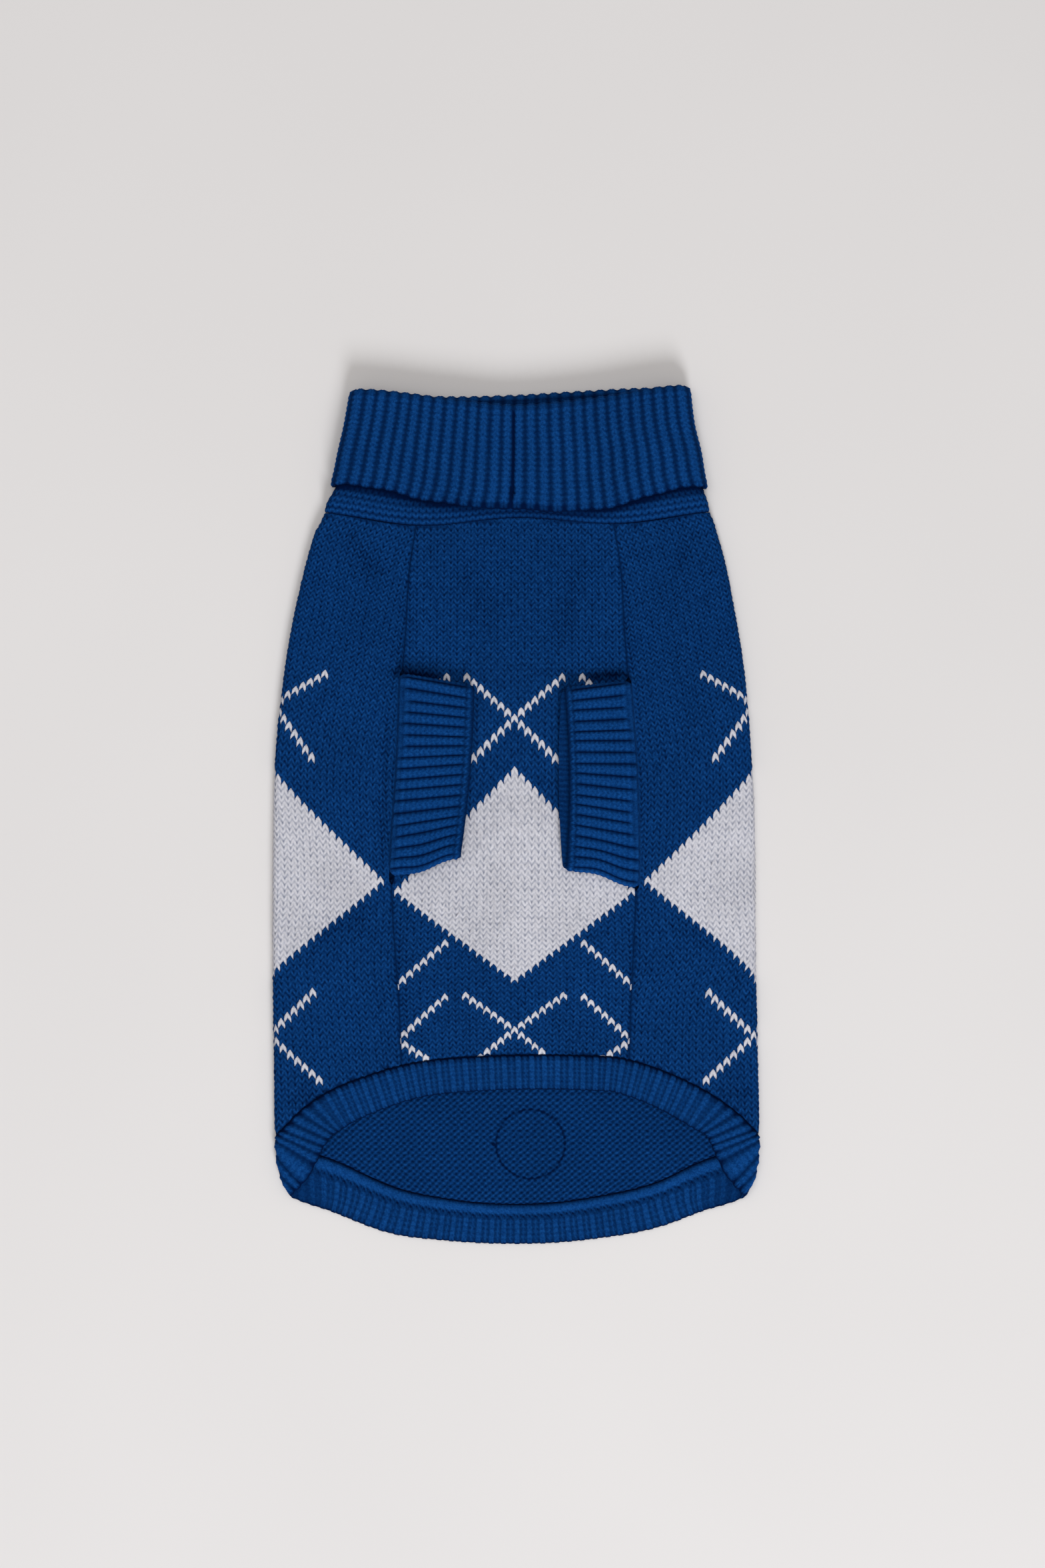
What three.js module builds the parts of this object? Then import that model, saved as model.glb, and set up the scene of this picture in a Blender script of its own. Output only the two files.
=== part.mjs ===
// A knitted dog sweater laid flat on its back, belly side up.
// Millimetres. X runs across the sweater, Y runs from the hem towards the neck, and Z is up from the floor.
// Left and right are those of the picture, with the neck at the top.
import * as THREE from "three";

// Knitted walls
const bodyWall = 2.6;
const ribWall = 2.4;
const ribHeight = 0.8;
const seamGap = 0.3;
const foldRadius = 3.2;
const crownRise = 1.6;

// Ribs around each tube
const collarRibs = 60;
const hemRibs = 74;
const sleeveRibs = 36;

// The turned-down layer lies this far off the stand, and the stand rises over the layer below it.
const collarGap = 0.8;
const standRiseLength = 8;

// Leg sleeves
const sleeveWall = 2.2;
const sleeveHollow = 0.8;
const sleeveBend = 3.6;
const sleeveClearance = 0.4;
const armholeHalfWidth = 3.0;

// Colours seen on the knit
const royalBlue = new THREE.Color(0x0b3a7e);
const deepBlue = new THREE.Color(0x0a3474);

// A place around a tube: 0 is the middle of the front, 1 to 2 is the side fold, 3 is the middle of the back,
// and the left half is negative.
const bodyOutline = [
  { y: 163, left: -102.9, right: 104.4 },
  { y: 158, left: -105.2, right: 106.8 },
  { y: 151.9, left: -108.4, right: 108.6 },
  { y: 137.5, left: -112.7, right: 112.7 },
  { y: 108.7, left: -119.5, right: 118.4 },
  { y: 79.9, left: -124.6, right: 123.1 },
  { y: 29.5, left: -130.0, right: 127.4 },
  { y: -6.5, left: -130.9, right: 129.0 },
  { y: -78.5, left: -131.2, right: 129.6 },
  { y: -130, left: -130.6, right: 130.7 },
  { y: -182, left: -129.2, right: 130.9 },
  { y: -194, left: -127.2, right: 129.2 },
  { y: -202, left: -123.8, right: 126.0 },
  { y: -209, left: -121, right: 122.6 },
  { y: -235, left: -120, right: 121 },
];

const neckSeam = [
  { place: -3, y: 164 },
  { place: -2.4, y: 163.8 },
  { place: -2, y: 162.9 },
  { place: -1, y: 162.2 },
  { place: -0.52, y: 155.6 },
  { place: 0, y: 159.8 },
  { place: 0.54, y: 156.6 },
  { place: 1, y: 162.6 },
  { place: 2, y: 163.2 },
  { place: 2.4, y: 163.8 },
  { place: 3, y: 164 },
];

const hemSeam = [
  { place: -3, y: -210, band: 21.5 },
  { place: -2.46, y: -201, band: 25.5 },
  { place: -2.24, y: -187.5, band: 29 },
  { place: -2, y: -175.5, band: 28 },
  { place: -1, y: -170, band: 24.5 },
  { place: -0.915, y: -159.5, band: 22 },
  { place: -0.795, y: -149, band: 21 },
  { place: -0.645, y: -141.1, band: 20 },
  { place: -0.43, y: -133.4, band: 19 },
  { place: -0.155, y: -130, band: 18.7 },
  { place: 0.3, y: -129.6, band: 18.7 },
  { place: 0.465, y: -131.4, band: 19 },
  { place: 0.795, y: -148.3, band: 21 },
  { place: 0.95, y: -162.5, band: 22 },
  { place: 1, y: -169, band: 24.5 },
  { place: 2, y: -175.5, band: 28 },
  { place: 2.245, y: -188.5, band: 28 },
  { place: 2.4, y: -198.5, band: 25 },
  { place: 3, y: -210, band: 21.5 },
];

// The two long seams beside the belly panel, and the heights at which the armholes in them start and end.
const bellySeams = {
  left: {
    side: -1,
    armhole: { neck: 76.2, hem: -35.6 },
    line: [
      { y: 157, x: -53.4 },
      { y: 131.8, x: -57.2 },
      { y: 98.6, x: -59.2 },
      { y: 76.3, x: -61.0 },
      { y: 29.2, x: -62.8 },
      { y: -16.2, x: -65.9 },
      { y: -37.8, x: -66.8 },
      { y: -100.4, x: -63.0 },
      { y: -137, x: -61.5 },
    ],
  },
  right: {
    side: 1,
    armhole: { neck: 72.2, hem: -38.8 },
    line: [
      { y: 157, x: 52.6 },
      { y: 131.8, x: 56.5 },
      { y: 98.6, x: 58.4 },
      { y: 72.4, x: 60.6 },
      { y: 22.3, x: 64.0 },
      { y: -16.2, x: 65.2 },
      { y: -40.0, x: 64.8 },
      { y: -100.4, x: 62.0 },
      { y: -137, x: 60.8 },
    ],
  },
};

// Heights of the knit rows on the belly seams, closest together where an armhole opens and ends.
const seamRows = [155.6, 140, 118, 97, 82, 76, 70, 52, 30, 8, -14, -33, -39, -46, -62, -84, -106, -121, -131];

const standOutline = [
  { y: 232, left: -85.0, right: 90.0 },
  { y: 209.5, left: -88.9, right: 92.7 },
  { y: 195.1, left: -92.2, right: 96.2 },
  { y: 180.7, left: -95.3, right: 98.7 },
  { y: 174, left: -97.8, right: 100.9 },
  { y: 167, left: -101.8, right: 103.4 },
  { y: 155, left: -103.2, right: 104.4 },
];

const collarEdges = [
  { place: -3, top: 226.5, free: 174 },
  { place: -2.6, top: 225.6, free: 174.5 },
  { place: -2.2, top: 227, free: 175 },
  { place: -2, top: 228.8, free: 175.5 },
  { place: -1, top: 229, free: 176.8 },
  { place: -0.4, top: 223.6, free: 166.7 },
  { place: -0.05, top: 220.7, free: 163.4 },
  { place: 0.42, top: 224.0, free: 163.4 },
  { place: 1, top: 231.0, free: 175.7 },
  { place: 2, top: 230.8, free: 174.5 },
  { place: 2.3, top: 230, free: 174.5 },
  { place: 2.6, top: 228.6, free: 174.5 },
  { place: 3, top: 226.5, free: 174 },
];

// Where each sleeve's two layers start at the armhole and end at the cuff, at its neck end, middle and hem end.
const sleeveCuts = {
  left: {
    upper: [
      { rootY: 75.8, cuffX: -22.2, cuffY: 68.6 },
      { rootY: 22, cuffX: -24.2, cuffY: 24 },
      { rootY: -31.4, cuffX: -29.5, cuffY: -21.8 },
    ],
    lower: [
      { rootY: 75.4, cuffX: -22.6, cuffY: 68.2 },
      { rootY: 20, cuffX: -24.6, cuffY: 23 },
      { rootY: -35.2, cuffX: -30.0, cuffY: -23.4 },
    ],
  },
  right: {
    upper: [
      { rootY: 71.8, cuffX: 26.2, cuffY: 67.6 },
      { rootY: 17, cuffX: 28.6, cuffY: 20 },
      { rootY: -38.0, cuffX: 27.2, cuffY: -27.2 },
    ],
    lower: [
      { rootY: 71.4, cuffX: 24.6, cuffY: 67.4 },
      { rootY: 16, cuffX: 23.0, cuffY: 19.6 },
      { rootY: -38.4, cuffX: 25.2, cuffY: -27.6 },
    ],
  },
};

function mix(from, to, share) {
  return from + (to - from) * share;
}

function limit(value, low = 0, high = 1) {
  return Math.min(high, Math.max(low, value));
}

function ease(share) {
  const s = limit(share);
  return s * s * (3 - 2 * s);
}

// A smooth reading of one column of a table, between the rows whose key is on either side.
function read(table, key, at, column) {
  const rows = table[0][key] < table[table.length - 1][key] ? table : [...table].reverse();
  const last = rows.length - 1;
  if (at <= rows[0][key]) return rows[0][column];
  if (at >= rows[last][key]) return rows[last][column];
  const i = rows.findIndex((row) => row[key] > at) - 1;
  const slope = (a, b) => (rows[b][column] - rows[a][column]) / (rows[b][key] - rows[a][key]);
  const step = rows[i + 1][key] - rows[i][key];
  const share = (at - rows[i][key]) / step;
  const start = i > 0 ? (slope(i - 1, i) + slope(i, i + 1)) / 2 : slope(i, i + 1);
  const end = i + 1 < last ? (slope(i, i + 1) + slope(i + 1, i + 2)) / 2 : slope(i, i + 1);
  const s2 = share * share;
  const s3 = s2 * share;
  return (
    rows[i][column] * (2 * s3 - 3 * s2 + 1) +
    start * step * (s3 - 2 * s2 + share) +
    rows[i + 1][column] * (3 * s2 - 2 * s3) +
    end * step * (s3 - s2)
  );
}

// How far across the tube a place is, from -1 to 1, and how far it has turned round the side fold.
function around(place) {
  const half = Math.abs(place);
  const side = place < 0 ? -1 : 1;
  if (half <= 1) return { across: place, side, turn: 0 };
  if (half <= 2) return { across: side, side, turn: (half - 1) * Math.PI };
  return { across: side * (3 - half), side, turn: Math.PI };
}

// A tube's table is read smoothly by the length round it, on which a side fold is short.
const foldShare = 0.065;

function girth(place) {
  const half = Math.abs(place);
  const length = half <= 1 ? half : half <= 2 ? 1 + (half - 1) * foldShare : half - 1 + foldShare;
  return place < 0 ? -length : length;
}

function readRound(table, place, column) {
  const rows = table.map((row) => ({ ...row, girth: girth(row.place) }));
  return read(rows, "girth", girth(place), column);
}

// Evenly spaced places round a tube, from the middle of the back.
function placesAround(count, flat, fold) {
  const places = [];
  const half = 2 * flat + fold;
  for (let i = 0; i < count; i++) {
    const length = -half + (2 * half * i) / count;
    const l = Math.abs(length);
    const place = l <= flat ? l / flat : l <= flat + fold ? 1 + (l - flat) / fold : 2 + (l - flat - fold) / flat;
    places.push(length < 0 ? -place : place);
  }
  return places;
}

// A closed cloth wall between two grids of points, one for each face.
function clothWall(name, outer, inner, wraps, color) {
  const rows = outer.length;
  const columns = outer[0].length;
  const points = [...outer.flat(), ...inner.flat()];
  const inside = rows * columns;
  const at = (row, column) => row * columns + (column % columns);
  const faces = [];
  const quad = (a, b, c, d) => faces.push(a, b, c, a, c, d);
  const spans = wraps ? columns : columns - 1;
  for (let column = 0; column < spans; column++) {
    for (let row = 0; row < rows - 1; row++) {
      const [a, b] = [at(row, column), at(row, column + 1)];
      const [c, d] = [at(row + 1, column + 1), at(row + 1, column)];
      quad(a, d, c, b);
      quad(inside + a, inside + b, inside + c, inside + d);
    }
    const end = rows - 1;
    quad(at(0, column), at(0, column + 1), inside + at(0, column + 1), inside + at(0, column));
    quad(at(end, column), inside + at(end, column), inside + at(end, column + 1), at(end, column + 1));
  }
  if (!wraps) {
    for (let row = 0; row < rows - 1; row++) {
      const last = columns - 1;
      quad(at(row, 0), inside + at(row, 0), inside + at(row + 1, 0), at(row + 1, 0));
      quad(at(row, last), at(row + 1, last), inside + at(row + 1, last), inside + at(row, last));
    }
  }
  const geometry = new THREE.BufferGeometry();
  geometry.setAttribute(
    "position",
    new THREE.Float32BufferAttribute(
      points.flatMap((p) => p.toArray()),
      3,
    ),
  );
  geometry.setIndex(faces);
  geometry.computeVertexNormals();
  const material = new THREE.MeshStandardMaterial({ color, roughness: 0.95, metalness: 0 });
  const mesh = new THREE.Mesh(geometry, material);
  mesh.name = name;
  return mesh;
}

// Body tube

function bodyWidth(y) {
  const left = read(bodyOutline, "y", y, "left");
  const right = read(bodyOutline, "y", y, "right");
  return { middle: (left + right) / 2, flat: (right - left) / 2 - foldRadius };
}

// The front layer's height: it swells a little between the neck and the hem, and lies flat at its sides.
function frontHeight(across, y) {
  const neckwards = ease((150 - y) / 70);
  const hemwards = ease((y + 128) / 60);
  return 2 * foldRadius + crownRise * neckwards * hemwards * (1 - across * across) ** 2;
}

function bodyPoint(place, y, inset) {
  const { middle, flat } = bodyWidth(y);
  const { across, side, turn } = around(place);
  const swell = turn === 0 ? frontHeight(across, y) - 2 * foldRadius : 0;
  const radius = foldRadius - inset;
  return new THREE.Vector3(
    middle + across * flat + side * radius * Math.sin(turn),
    y,
    foldRadius + radius * Math.cos(turn) + swell,
  );
}

function seamX(seam, y) {
  return read(seam.line, "y", y, "x");
}

// Half the gap in a belly seam: a stitch line's, or an armhole's.
function halfGap(seam, y) {
  const { neck, hem } = seam.armhole;
  const open = limit(Math.min((neck + 6 - y) / 6, (y - hem + 6) / 6));
  return mix(seamGap / 2, armholeHalfWidth, open);
}

// A knit row's height where it crosses a place, from its share of the way from the neck seam to the hem seam.
function rowHeight(place, share) {
  return mix(readRound(neckSeam, place, "y"), readRound(hemSeam, place, "y"), share);
}

// The place of one edge of a belly seam on a row: away is 1 on the side piece and -1 on the belly panel.
function seamEdge(seam, share, away) {
  let place = seam.side * 0.5;
  for (let tries = 0; tries < 6; tries++) {
    const y = rowHeight(place, share);
    const { middle, flat } = bodyWidth(y);
    place = (seamX(seam, y) + away * seam.side * halfGap(seam, y) - middle) / flat;
  }
  return place;
}

// Each row's share of the way to the hem, at the left and the right seam.
function rowShares(seam) {
  const neck = readRound(neckSeam, seam.side * 0.5, "y");
  const hem = readRound(hemSeam, seam.side * 0.49, "y");
  const first = seamRows[0];
  const last = seamRows[seamRows.length - 1];
  return seamRows.map((y) => {
    if (y === first) return 0;
    return y === last ? 1 : (y - neck) / (hem - neck);
  });
}

const leftShares = rowShares(bellySeams.left);
const rightShares = rowShares(bellySeams.right);

// The body's two pieces stop just short of the neck and hem seams.
function pieceEnd(place, share, y) {
  if (share === 0) return readRound(neckSeam, place, "y") - seamGap / 2;
  return share === 1 ? readRound(hemSeam, place, "y") + seamGap / 2 : y;
}

function knitGrid(placesOnRow, inset) {
  return seamRows.map((_, row) =>
    placesOnRow(row).map(({ place, rightwards }) => {
      const share = mix(leftShares[row], rightShares[row], rightwards);
      return bodyPoint(place, pieceEnd(place, share, rowHeight(place, share)), inset);
    }),
  );
}

function bellyPlaces(row) {
  const steps = 10;
  const left = seamEdge(bellySeams.left, leftShares[row], -1);
  const right = seamEdge(bellySeams.right, rightShares[row], -1);
  return Array.from({ length: steps + 1 }, (_, i) => ({ place: mix(left, right, i / steps), rightwards: i / steps }));
}

// From the right belly seam round the right side, under the back and up the left side.
function backPlaces(row) {
  const besideSeam = [0, 0.12, 0.36, 0.6, 0.82];
  const roundFold = [1, 1.17, 1.33, 1.5, 1.67, 1.83];
  const acrossBack = [2, 2.12, 2.25, 2.38, 2.5, 2.65, 2.82];
  const left = seamEdge(bellySeams.left, leftShares[row], 1);
  const right = seamEdge(bellySeams.right, rightShares[row], 1);
  const rightFront = besideSeam.map((share) => ({ place: mix(right, 1, share), rightwards: 1 }));
  const leftFront = besideSeam.map((share) => ({ place: mix(left, -1, share), rightwards: 0 }));
  const rightSide = [...roundFold, ...acrossBack].map((place) => ({
    place,
    rightwards: place < 2 ? 1 : (4 - place) / 2,
  }));
  const leftSide = rightSide.map(({ place, rightwards }) => ({ place: -place, rightwards: 1 - rightwards }));
  return [...rightFront, ...rightSide, { place: 3, rightwards: 0.5 }, ...leftSide.reverse(), ...leftFront.reverse()];
}

function makeBellyPanel() {
  return clothWall("belly_panel", knitGrid(bellyPlaces, 0), knitGrid(bellyPlaces, bodyWall), false, royalBlue);
}

function makeBackPanel() {
  return clothWall("back_panel", knitGrid(backPlaces, 0), knitGrid(backPlaces, bodyWall), false, royalBlue);
}

// The body's edge on its first or last row, which the collar and the hem band follow from stitch to stitch.
function bodyEdge(table, row) {
  const places = [-3, ...bellyPlaces(row).map((p) => p.place), ...backPlaces(row).map((p) => p.place)];
  return places.sort((a, b) => a - b).map((place) => ({ place, y: readRound(table, place, "y") }));
}

function edgeHeight(edge, place) {
  const next = Math.max(1, edge.findIndex((station) => station.place >= place));
  const [before, after] = [edge[next - 1], edge[next]];
  return mix(before.y, after.y, (place - before.place) / (after.place - before.place));
}

// The collar and the band keep a little further off where the edge turns round a side fold.
function edgeGap(place) {
  const beyondFold = Math.abs(Math.abs(place) - 1.5) - 0.5;
  return seamGap / 2 + 2 * seamGap * limit(1 - beyondFold / 0.04);
}

const neckEdge = bodyEdge(neckSeam, 0);
const hemEdge = bodyEdge(hemSeam, seamRows.length - 1);

// Collar: a ribbed tube that stands up from the neck seam, folds over at the top and comes down outside itself.

function collarPoint(place, y, outward) {
  const left = read(standOutline, "y", y, "left");
  const right = read(standOutline, "y", y, "right");
  const flat = (right - left) / 2 - foldRadius;
  const { across, side, turn } = around(place);
  const rise = (ribWall + collarGap) * ease((y - readRound(neckSeam, place, "y")) / standRiseLength);
  const radius = foldRadius + outward;
  return new THREE.Vector3(
    (left + right) / 2 + across * flat + side * radius * Math.sin(turn),
    y,
    rise + foldRadius + radius * Math.cos(turn),
  );
}

// How much of a rib is raised on a face that looks up by this much: none on what rests on the floor.
function ribShare(upward) {
  return limit((upward + 1) / 0.7);
}

// One column of the collar's wall, as pairs of points from the neck seam over the fold to the free edge.
// The folded face is inside the neck on the stand and outside on the turned-down layer.
function collarColumn(place, ridge) {
  const { turn } = around(place);
  const neck = edgeHeight(neckEdge, place) + edgeGap(place);
  const top = readRound(collarEdges, place, "top");
  const free = readRound(collarEdges, place, "free");
  const foldY = top - ribWall - collarGap / 2 - ribHeight;
  const raised = ridge ? ribHeight : 0;
  const pairs = [];
  for (const { y, shown } of [
    { y: neck, shown: 1 },
    { y: neck + 4.5, shown: 0.6 },
    { y: neck + 9.5, shown: 0 },
  ]) {
    const strip = 0.7 * raised * shown * ribShare(Math.cos(turn));
    pairs.push({ folded: collarPoint(place, y, -ribWall), hidden: collarPoint(place, y, strip) });
  }
  for (let step = 0; step <= 4; step++) {
    const angle = (step * Math.PI) / 4;
    const outwards = -Math.cos(angle);
    const share = ribShare(outwards * Math.cos(turn)) * (step === 0 ? 0.6 : 1);
    const reach = collarGap / 2 + ribWall + raised * share;
    const middle = collarGap / 2;
    pairs.push({
      folded: collarPoint(place, foldY + reach * Math.sin(angle), middle + reach * outwards),
      hidden: collarPoint(place, foldY + middle * Math.sin(angle), middle + middle * outwards),
    });
  }
  const face = collarGap + ribWall + raised * ribShare(Math.cos(turn));
  for (const y of [free + 5, free]) {
    pairs.push({ folded: collarPoint(place, y, face), hidden: collarPoint(place, y, collarGap) });
  }
  return pairs;
}

function makeCollar() {
  const places = placesAround(2 * collarRibs, 95, 16);
  const columns = places.map((place, i) => collarColumn(place, i % 2 === 0));
  const rows = columns[0].map((_, row) => row);
  const folded = rows.map((row) => columns.map((column) => column[row].folded));
  const hidden = rows.map((row) => columns.map((column) => column[row].hidden));
  return clothWall("collar", folded, hidden, true, deepBlue);
}

// Hem band: a ribbed strip that leaves the hem seam square to it all the way round.

const bandFlat = 127.4;
const bandFold = 8;

function unroll(place) {
  const half = Math.abs(place);
  const length =
    half <= 1 ? half * bandFlat : half <= 2 ? bandFlat + (half - 1) * bandFold : bandFlat * (half - 1) + bandFold;
  return place < 0 ? -length : length;
}

function rollUp(length) {
  const l = Math.abs(length);
  const place =
    l <= bandFlat
      ? l / bandFlat
      : l <= bandFlat + bandFold
        ? 1 + (l - bandFlat) / bandFold
        : 2 + (l - bandFlat - bandFold) / bandFlat;
  return length < 0 ? -place : place;
}

// The hem seam on the unrolled tube, as stations with their length along the seam.
function hemStations(steps) {
  const end = unroll(3);
  const stations = [];
  let length = 0;
  for (let i = 0; i <= steps; i++) {
    const u = mix(-end, end, i / steps);
    const place = rollUp(u);
    const station = { u, y: edgeHeight(hemEdge, place), band: readRound(hemSeam, place, "band") };
    if (i > 0) length += Math.hypot(u - stations[i - 1].u, station.y - stations[i - 1].y);
    stations.push({ ...station, length });
  }
  return stations;
}

function bandPoint(station, down, inset, raised) {
  const u = station.u + down * station.squareU;
  const y = station.y + down * station.squareY;
  const wrapped = rollUp(Math.abs(u) > unroll(3) ? u - 2 * Math.sign(u) * unroll(3) : u);
  const upward = Math.cos(around(wrapped).turn);
  // Ribs stand out of the face that can be seen: outside on the front and sides, inside on the back.
  const lift = inset === 0 ? -raised * ribShare(upward) : raised * limit(-upward);
  return bodyPoint(wrapped, y, inset + lift);
}

function makeHemBand() {
  const stations = hemStations(720);
  const total = stations[stations.length - 1].length;
  const columns = 2 * hemRibs;
  const outer = [[], [], [], []];
  const inner = [[], [], [], []];
  for (let i = 0; i < columns; i++) {
    const length = (total * i) / columns;
    const u = read(stations, "length", length, "u");
    const y = read(stations, "length", length, "y");
    const band = read(stations, "length", length, "band");
    const ahead = 12;
    const after = Math.min(total, length + ahead);
    const before = Math.max(0, length - ahead);
    const runU = read(stations, "length", after, "u") - read(stations, "length", before, "u");
    const runY = i === 0 ? 0 : read(stations, "length", after, "y") - read(stations, "length", before, "y");
    const run = Math.hypot(runU, runY);
    const station = { u, y, squareU: runY / run, squareY: -runU / run };
    [edgeGap(rollUp(u)), 0.3 * band, 0.65 * band, band].forEach((down, row) => {
      const raised = i % 2 === 0 ? ribHeight * (row === 0 ? 0.4 : 1) : 0;
      outer[row].push(bandPoint(station, down, 0, raised));
      inner[row].push(bandPoint(station, down, ribWall, raised));
    });
  }
  return clothWall("hem_band", outer, inner, true, deepBlue);
}

// Leg sleeves: each flattened tube comes up out of its armhole, bends over and lies on the belly panel.

function panelTop(x, y) {
  const { middle, flat } = bodyWidth(y);
  return frontHeight(limit((x - middle) / flat, -1, 1), y);
}

// A curve through a layer's three stations, from its neck end at -1 to its hem end at 1.
function acrossLayer(layer, column, across) {
  const [neck, middle, hem] = layer.map((station) => station[column]);
  return middle + ((hem - neck) / 2) * across + ((neck + hem) / 2 - middle) * across * across;
}

function sleevePoint(seam, cuts, place, row, reach) {
  const { across, side, turn } = around(place);
  const inset = 1 - (sleeveHollow / 2 + sleeveWall) / 54;
  const under = (1 - Math.cos(turn)) / 2;
  const value = (column) =>
    mix(acrossLayer(cuts.upper, column, across * inset), acrossLayer(cuts.lower, column, across * inset), under);
  const rootY = value("rootY");
  const rootX = seamX(seam, rootY);
  const inwards = -seam.side;
  const length = (value("cuffX") - rootX) * inwards;
  const forward = row.bend < 1 ? sleeveBend * (1 - Math.cos((row.bend * Math.PI) / 2)) : mix(sleeveBend, length, row.flat);
  const y = mix(rootY, value("cuffY"), forward / length);
  const x = rootX + inwards * forward;
  const rest = panelTop(x, y);
  const flatZ = rest + sleeveClearance + ribHeight + sleeveWall + sleeveHollow / 2;
  const angle = (row.bend * Math.PI) / 2;
  const z = flatZ - sleeveBend * (1 - Math.sin(angle));
  const base = row.root ? rest - bodyWall : z;
  const offset = reach * Math.cos(turn);
  return new THREE.Vector3(
    x - inwards * offset * Math.cos(angle),
    y - side * reach * Math.sin(turn),
    base + offset * Math.sin(angle),
  );
}

function makeSleeve(name, seam, cuts) {
  const rows = [
    { root: true, bend: 0, flat: 0, ribs: 0 },
    { root: false, bend: 0, flat: 0, ribs: 0 },
    { root: false, bend: 0.35, flat: 0, ribs: 0.3 },
    { root: false, bend: 0.7, flat: 0, ribs: 0.7 },
    { root: false, bend: 1, flat: 0, ribs: 1 },
    { root: false, bend: 1, flat: 0.55, ribs: 1 },
    { root: false, bend: 1, flat: 1, ribs: 0.9 },
  ];
  const places = placesAround(2 * sleeveRibs, 52, 9);
  const outer = rows.map((row) =>
    places.map((place, i) => {
      const raised = i % 2 === 0 ? ribHeight * row.ribs : 0;
      return sleevePoint(seam, cuts, place, row, sleeveHollow / 2 + sleeveWall + raised);
    }),
  );
  const inner = rows.map((row) => places.map((place) => sleevePoint(seam, cuts, place, row, sleeveHollow / 2)));
  // The left sleeve points to the right, so its rows run the other way round the tube.
  const turned = (rows) => (seam.side > 0 ? rows : rows.map((row) => [...row].reverse()));
  return clothWall(name, turned(outer), turned(inner), true, deepBlue);
}

const sweater = new THREE.Group();
sweater.name = "dog_sweater";
sweater.add(makeBackPanel());
sweater.add(makeBellyPanel());
sweater.add(makeCollar());
sweater.add(makeHemBand());
sweater.add(makeSleeve("sleeve_left", bellySeams.left, sleeveCuts.left));
sweater.add(makeSleeve("sleeve_right", bellySeams.right, sleeveCuts.right));

export default sweater;
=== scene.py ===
import math
import bpy
import numpy as np
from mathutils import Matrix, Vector


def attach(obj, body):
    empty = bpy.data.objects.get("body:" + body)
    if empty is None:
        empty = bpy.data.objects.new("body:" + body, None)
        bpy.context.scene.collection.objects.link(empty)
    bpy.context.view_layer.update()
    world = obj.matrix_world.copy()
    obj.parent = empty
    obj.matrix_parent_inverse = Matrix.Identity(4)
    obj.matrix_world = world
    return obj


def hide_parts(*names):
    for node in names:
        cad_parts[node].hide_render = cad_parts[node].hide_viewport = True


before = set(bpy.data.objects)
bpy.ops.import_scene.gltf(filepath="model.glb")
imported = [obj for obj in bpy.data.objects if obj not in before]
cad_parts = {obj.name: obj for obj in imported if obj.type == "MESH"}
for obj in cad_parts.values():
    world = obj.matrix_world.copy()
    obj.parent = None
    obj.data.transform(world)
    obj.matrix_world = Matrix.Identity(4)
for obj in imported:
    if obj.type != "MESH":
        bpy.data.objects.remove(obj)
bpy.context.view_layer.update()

scene = bpy.context.scene
chance = np.random.default_rng(11)  # for uneven stitches and ribs

# Lengths are in millimetres up to meshObject, which turns them into metres.
# Left and right are the picture's, with the neck at the top.


def mix(a, b, share):
    return a + (b - a) * share


def limit(value, low=0.0, high=1.0):
    return np.clip(value, low, high)


def ease(share):
    s = limit(share)
    return s * s * (3 - 2 * s)


def bell(distance, width):  # 1 at no distance, and next to nothing past twice the width
    return np.exp(-(distance / width) ** 2)


def read(table, key, column, at):  # smooth reading of a column, with mean slopes at the rows
    keys = np.array(table[key], float)
    values = np.array(table[column], float)
    order = np.argsort(keys)
    keys, values = keys[order], values[order]
    at = np.clip(np.asarray(at, float), keys[0], keys[-1])
    i = np.clip(np.searchsorted(keys, at, side="right") - 1, 0, len(keys) - 2)
    slopes = np.diff(values) / np.diff(keys)
    ends = np.concatenate([slopes[:1], (slopes[:-1] + slopes[1:]) / 2, slopes[-1:]])
    step = keys[i + 1] - keys[i]
    s = (at - keys[i]) / step
    return (values[i] * (2 * s**3 - 3 * s**2 + 1) + ends[i] * step * (s**3 - 2 * s**2 + s)
            + values[i + 1] * (3 * s**2 - 2 * s**3) + ends[i + 1] * step * (s**3 - s**2))


# A place round a tube: 0 is the middle of the front, 1 to 2 the side fold and 3 the middle of the back. It is
# negative on the left. A tube laid flat has a flat length in front and behind, and a fold at each side.
foldShare = 0.065  # the body's side fold beside its flat length


def around(place):
    half = np.abs(place)
    side = np.where(place < 0, -1.0, 1.0)
    across = np.where(half <= 1, place, side * np.where(half <= 2, 1.0, 3 - half))
    return across, side, math.pi * limit(half - 1)


def lengthAt(place, flat=1.0, fold=foldShare):
    half = np.abs(np.asarray(place, float))
    folded = np.where(half <= 2, flat + (half - 1) * fold, flat * (half - 1) + fold)
    length = np.where(half <= 1, half * flat, folded)
    return np.where(np.asarray(place) < 0, -length, length)


def placeAt(length, flat, fold):
    l = np.abs(length)
    folded = np.where(l <= flat + fold, 1 + (l - flat) / fold, 2 + (l - flat - fold) / flat)
    place = np.where(l <= flat, l / flat, folded)
    return np.where(length < 0, -place, place)


def readRound(table, column, place):
    byLength = dict(table, length=lengthAt(table["place"]))
    return read(byLength, "length", column, lengthAt(place))


cloth = dict(bodyWall=2.6, ribWall=2.4, ribHeight=0.8, foldRadius=3.2, crownRise=1.6,
             seamGap=0.1, foldGap=0.6, foldGapReach=0.04)

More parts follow.
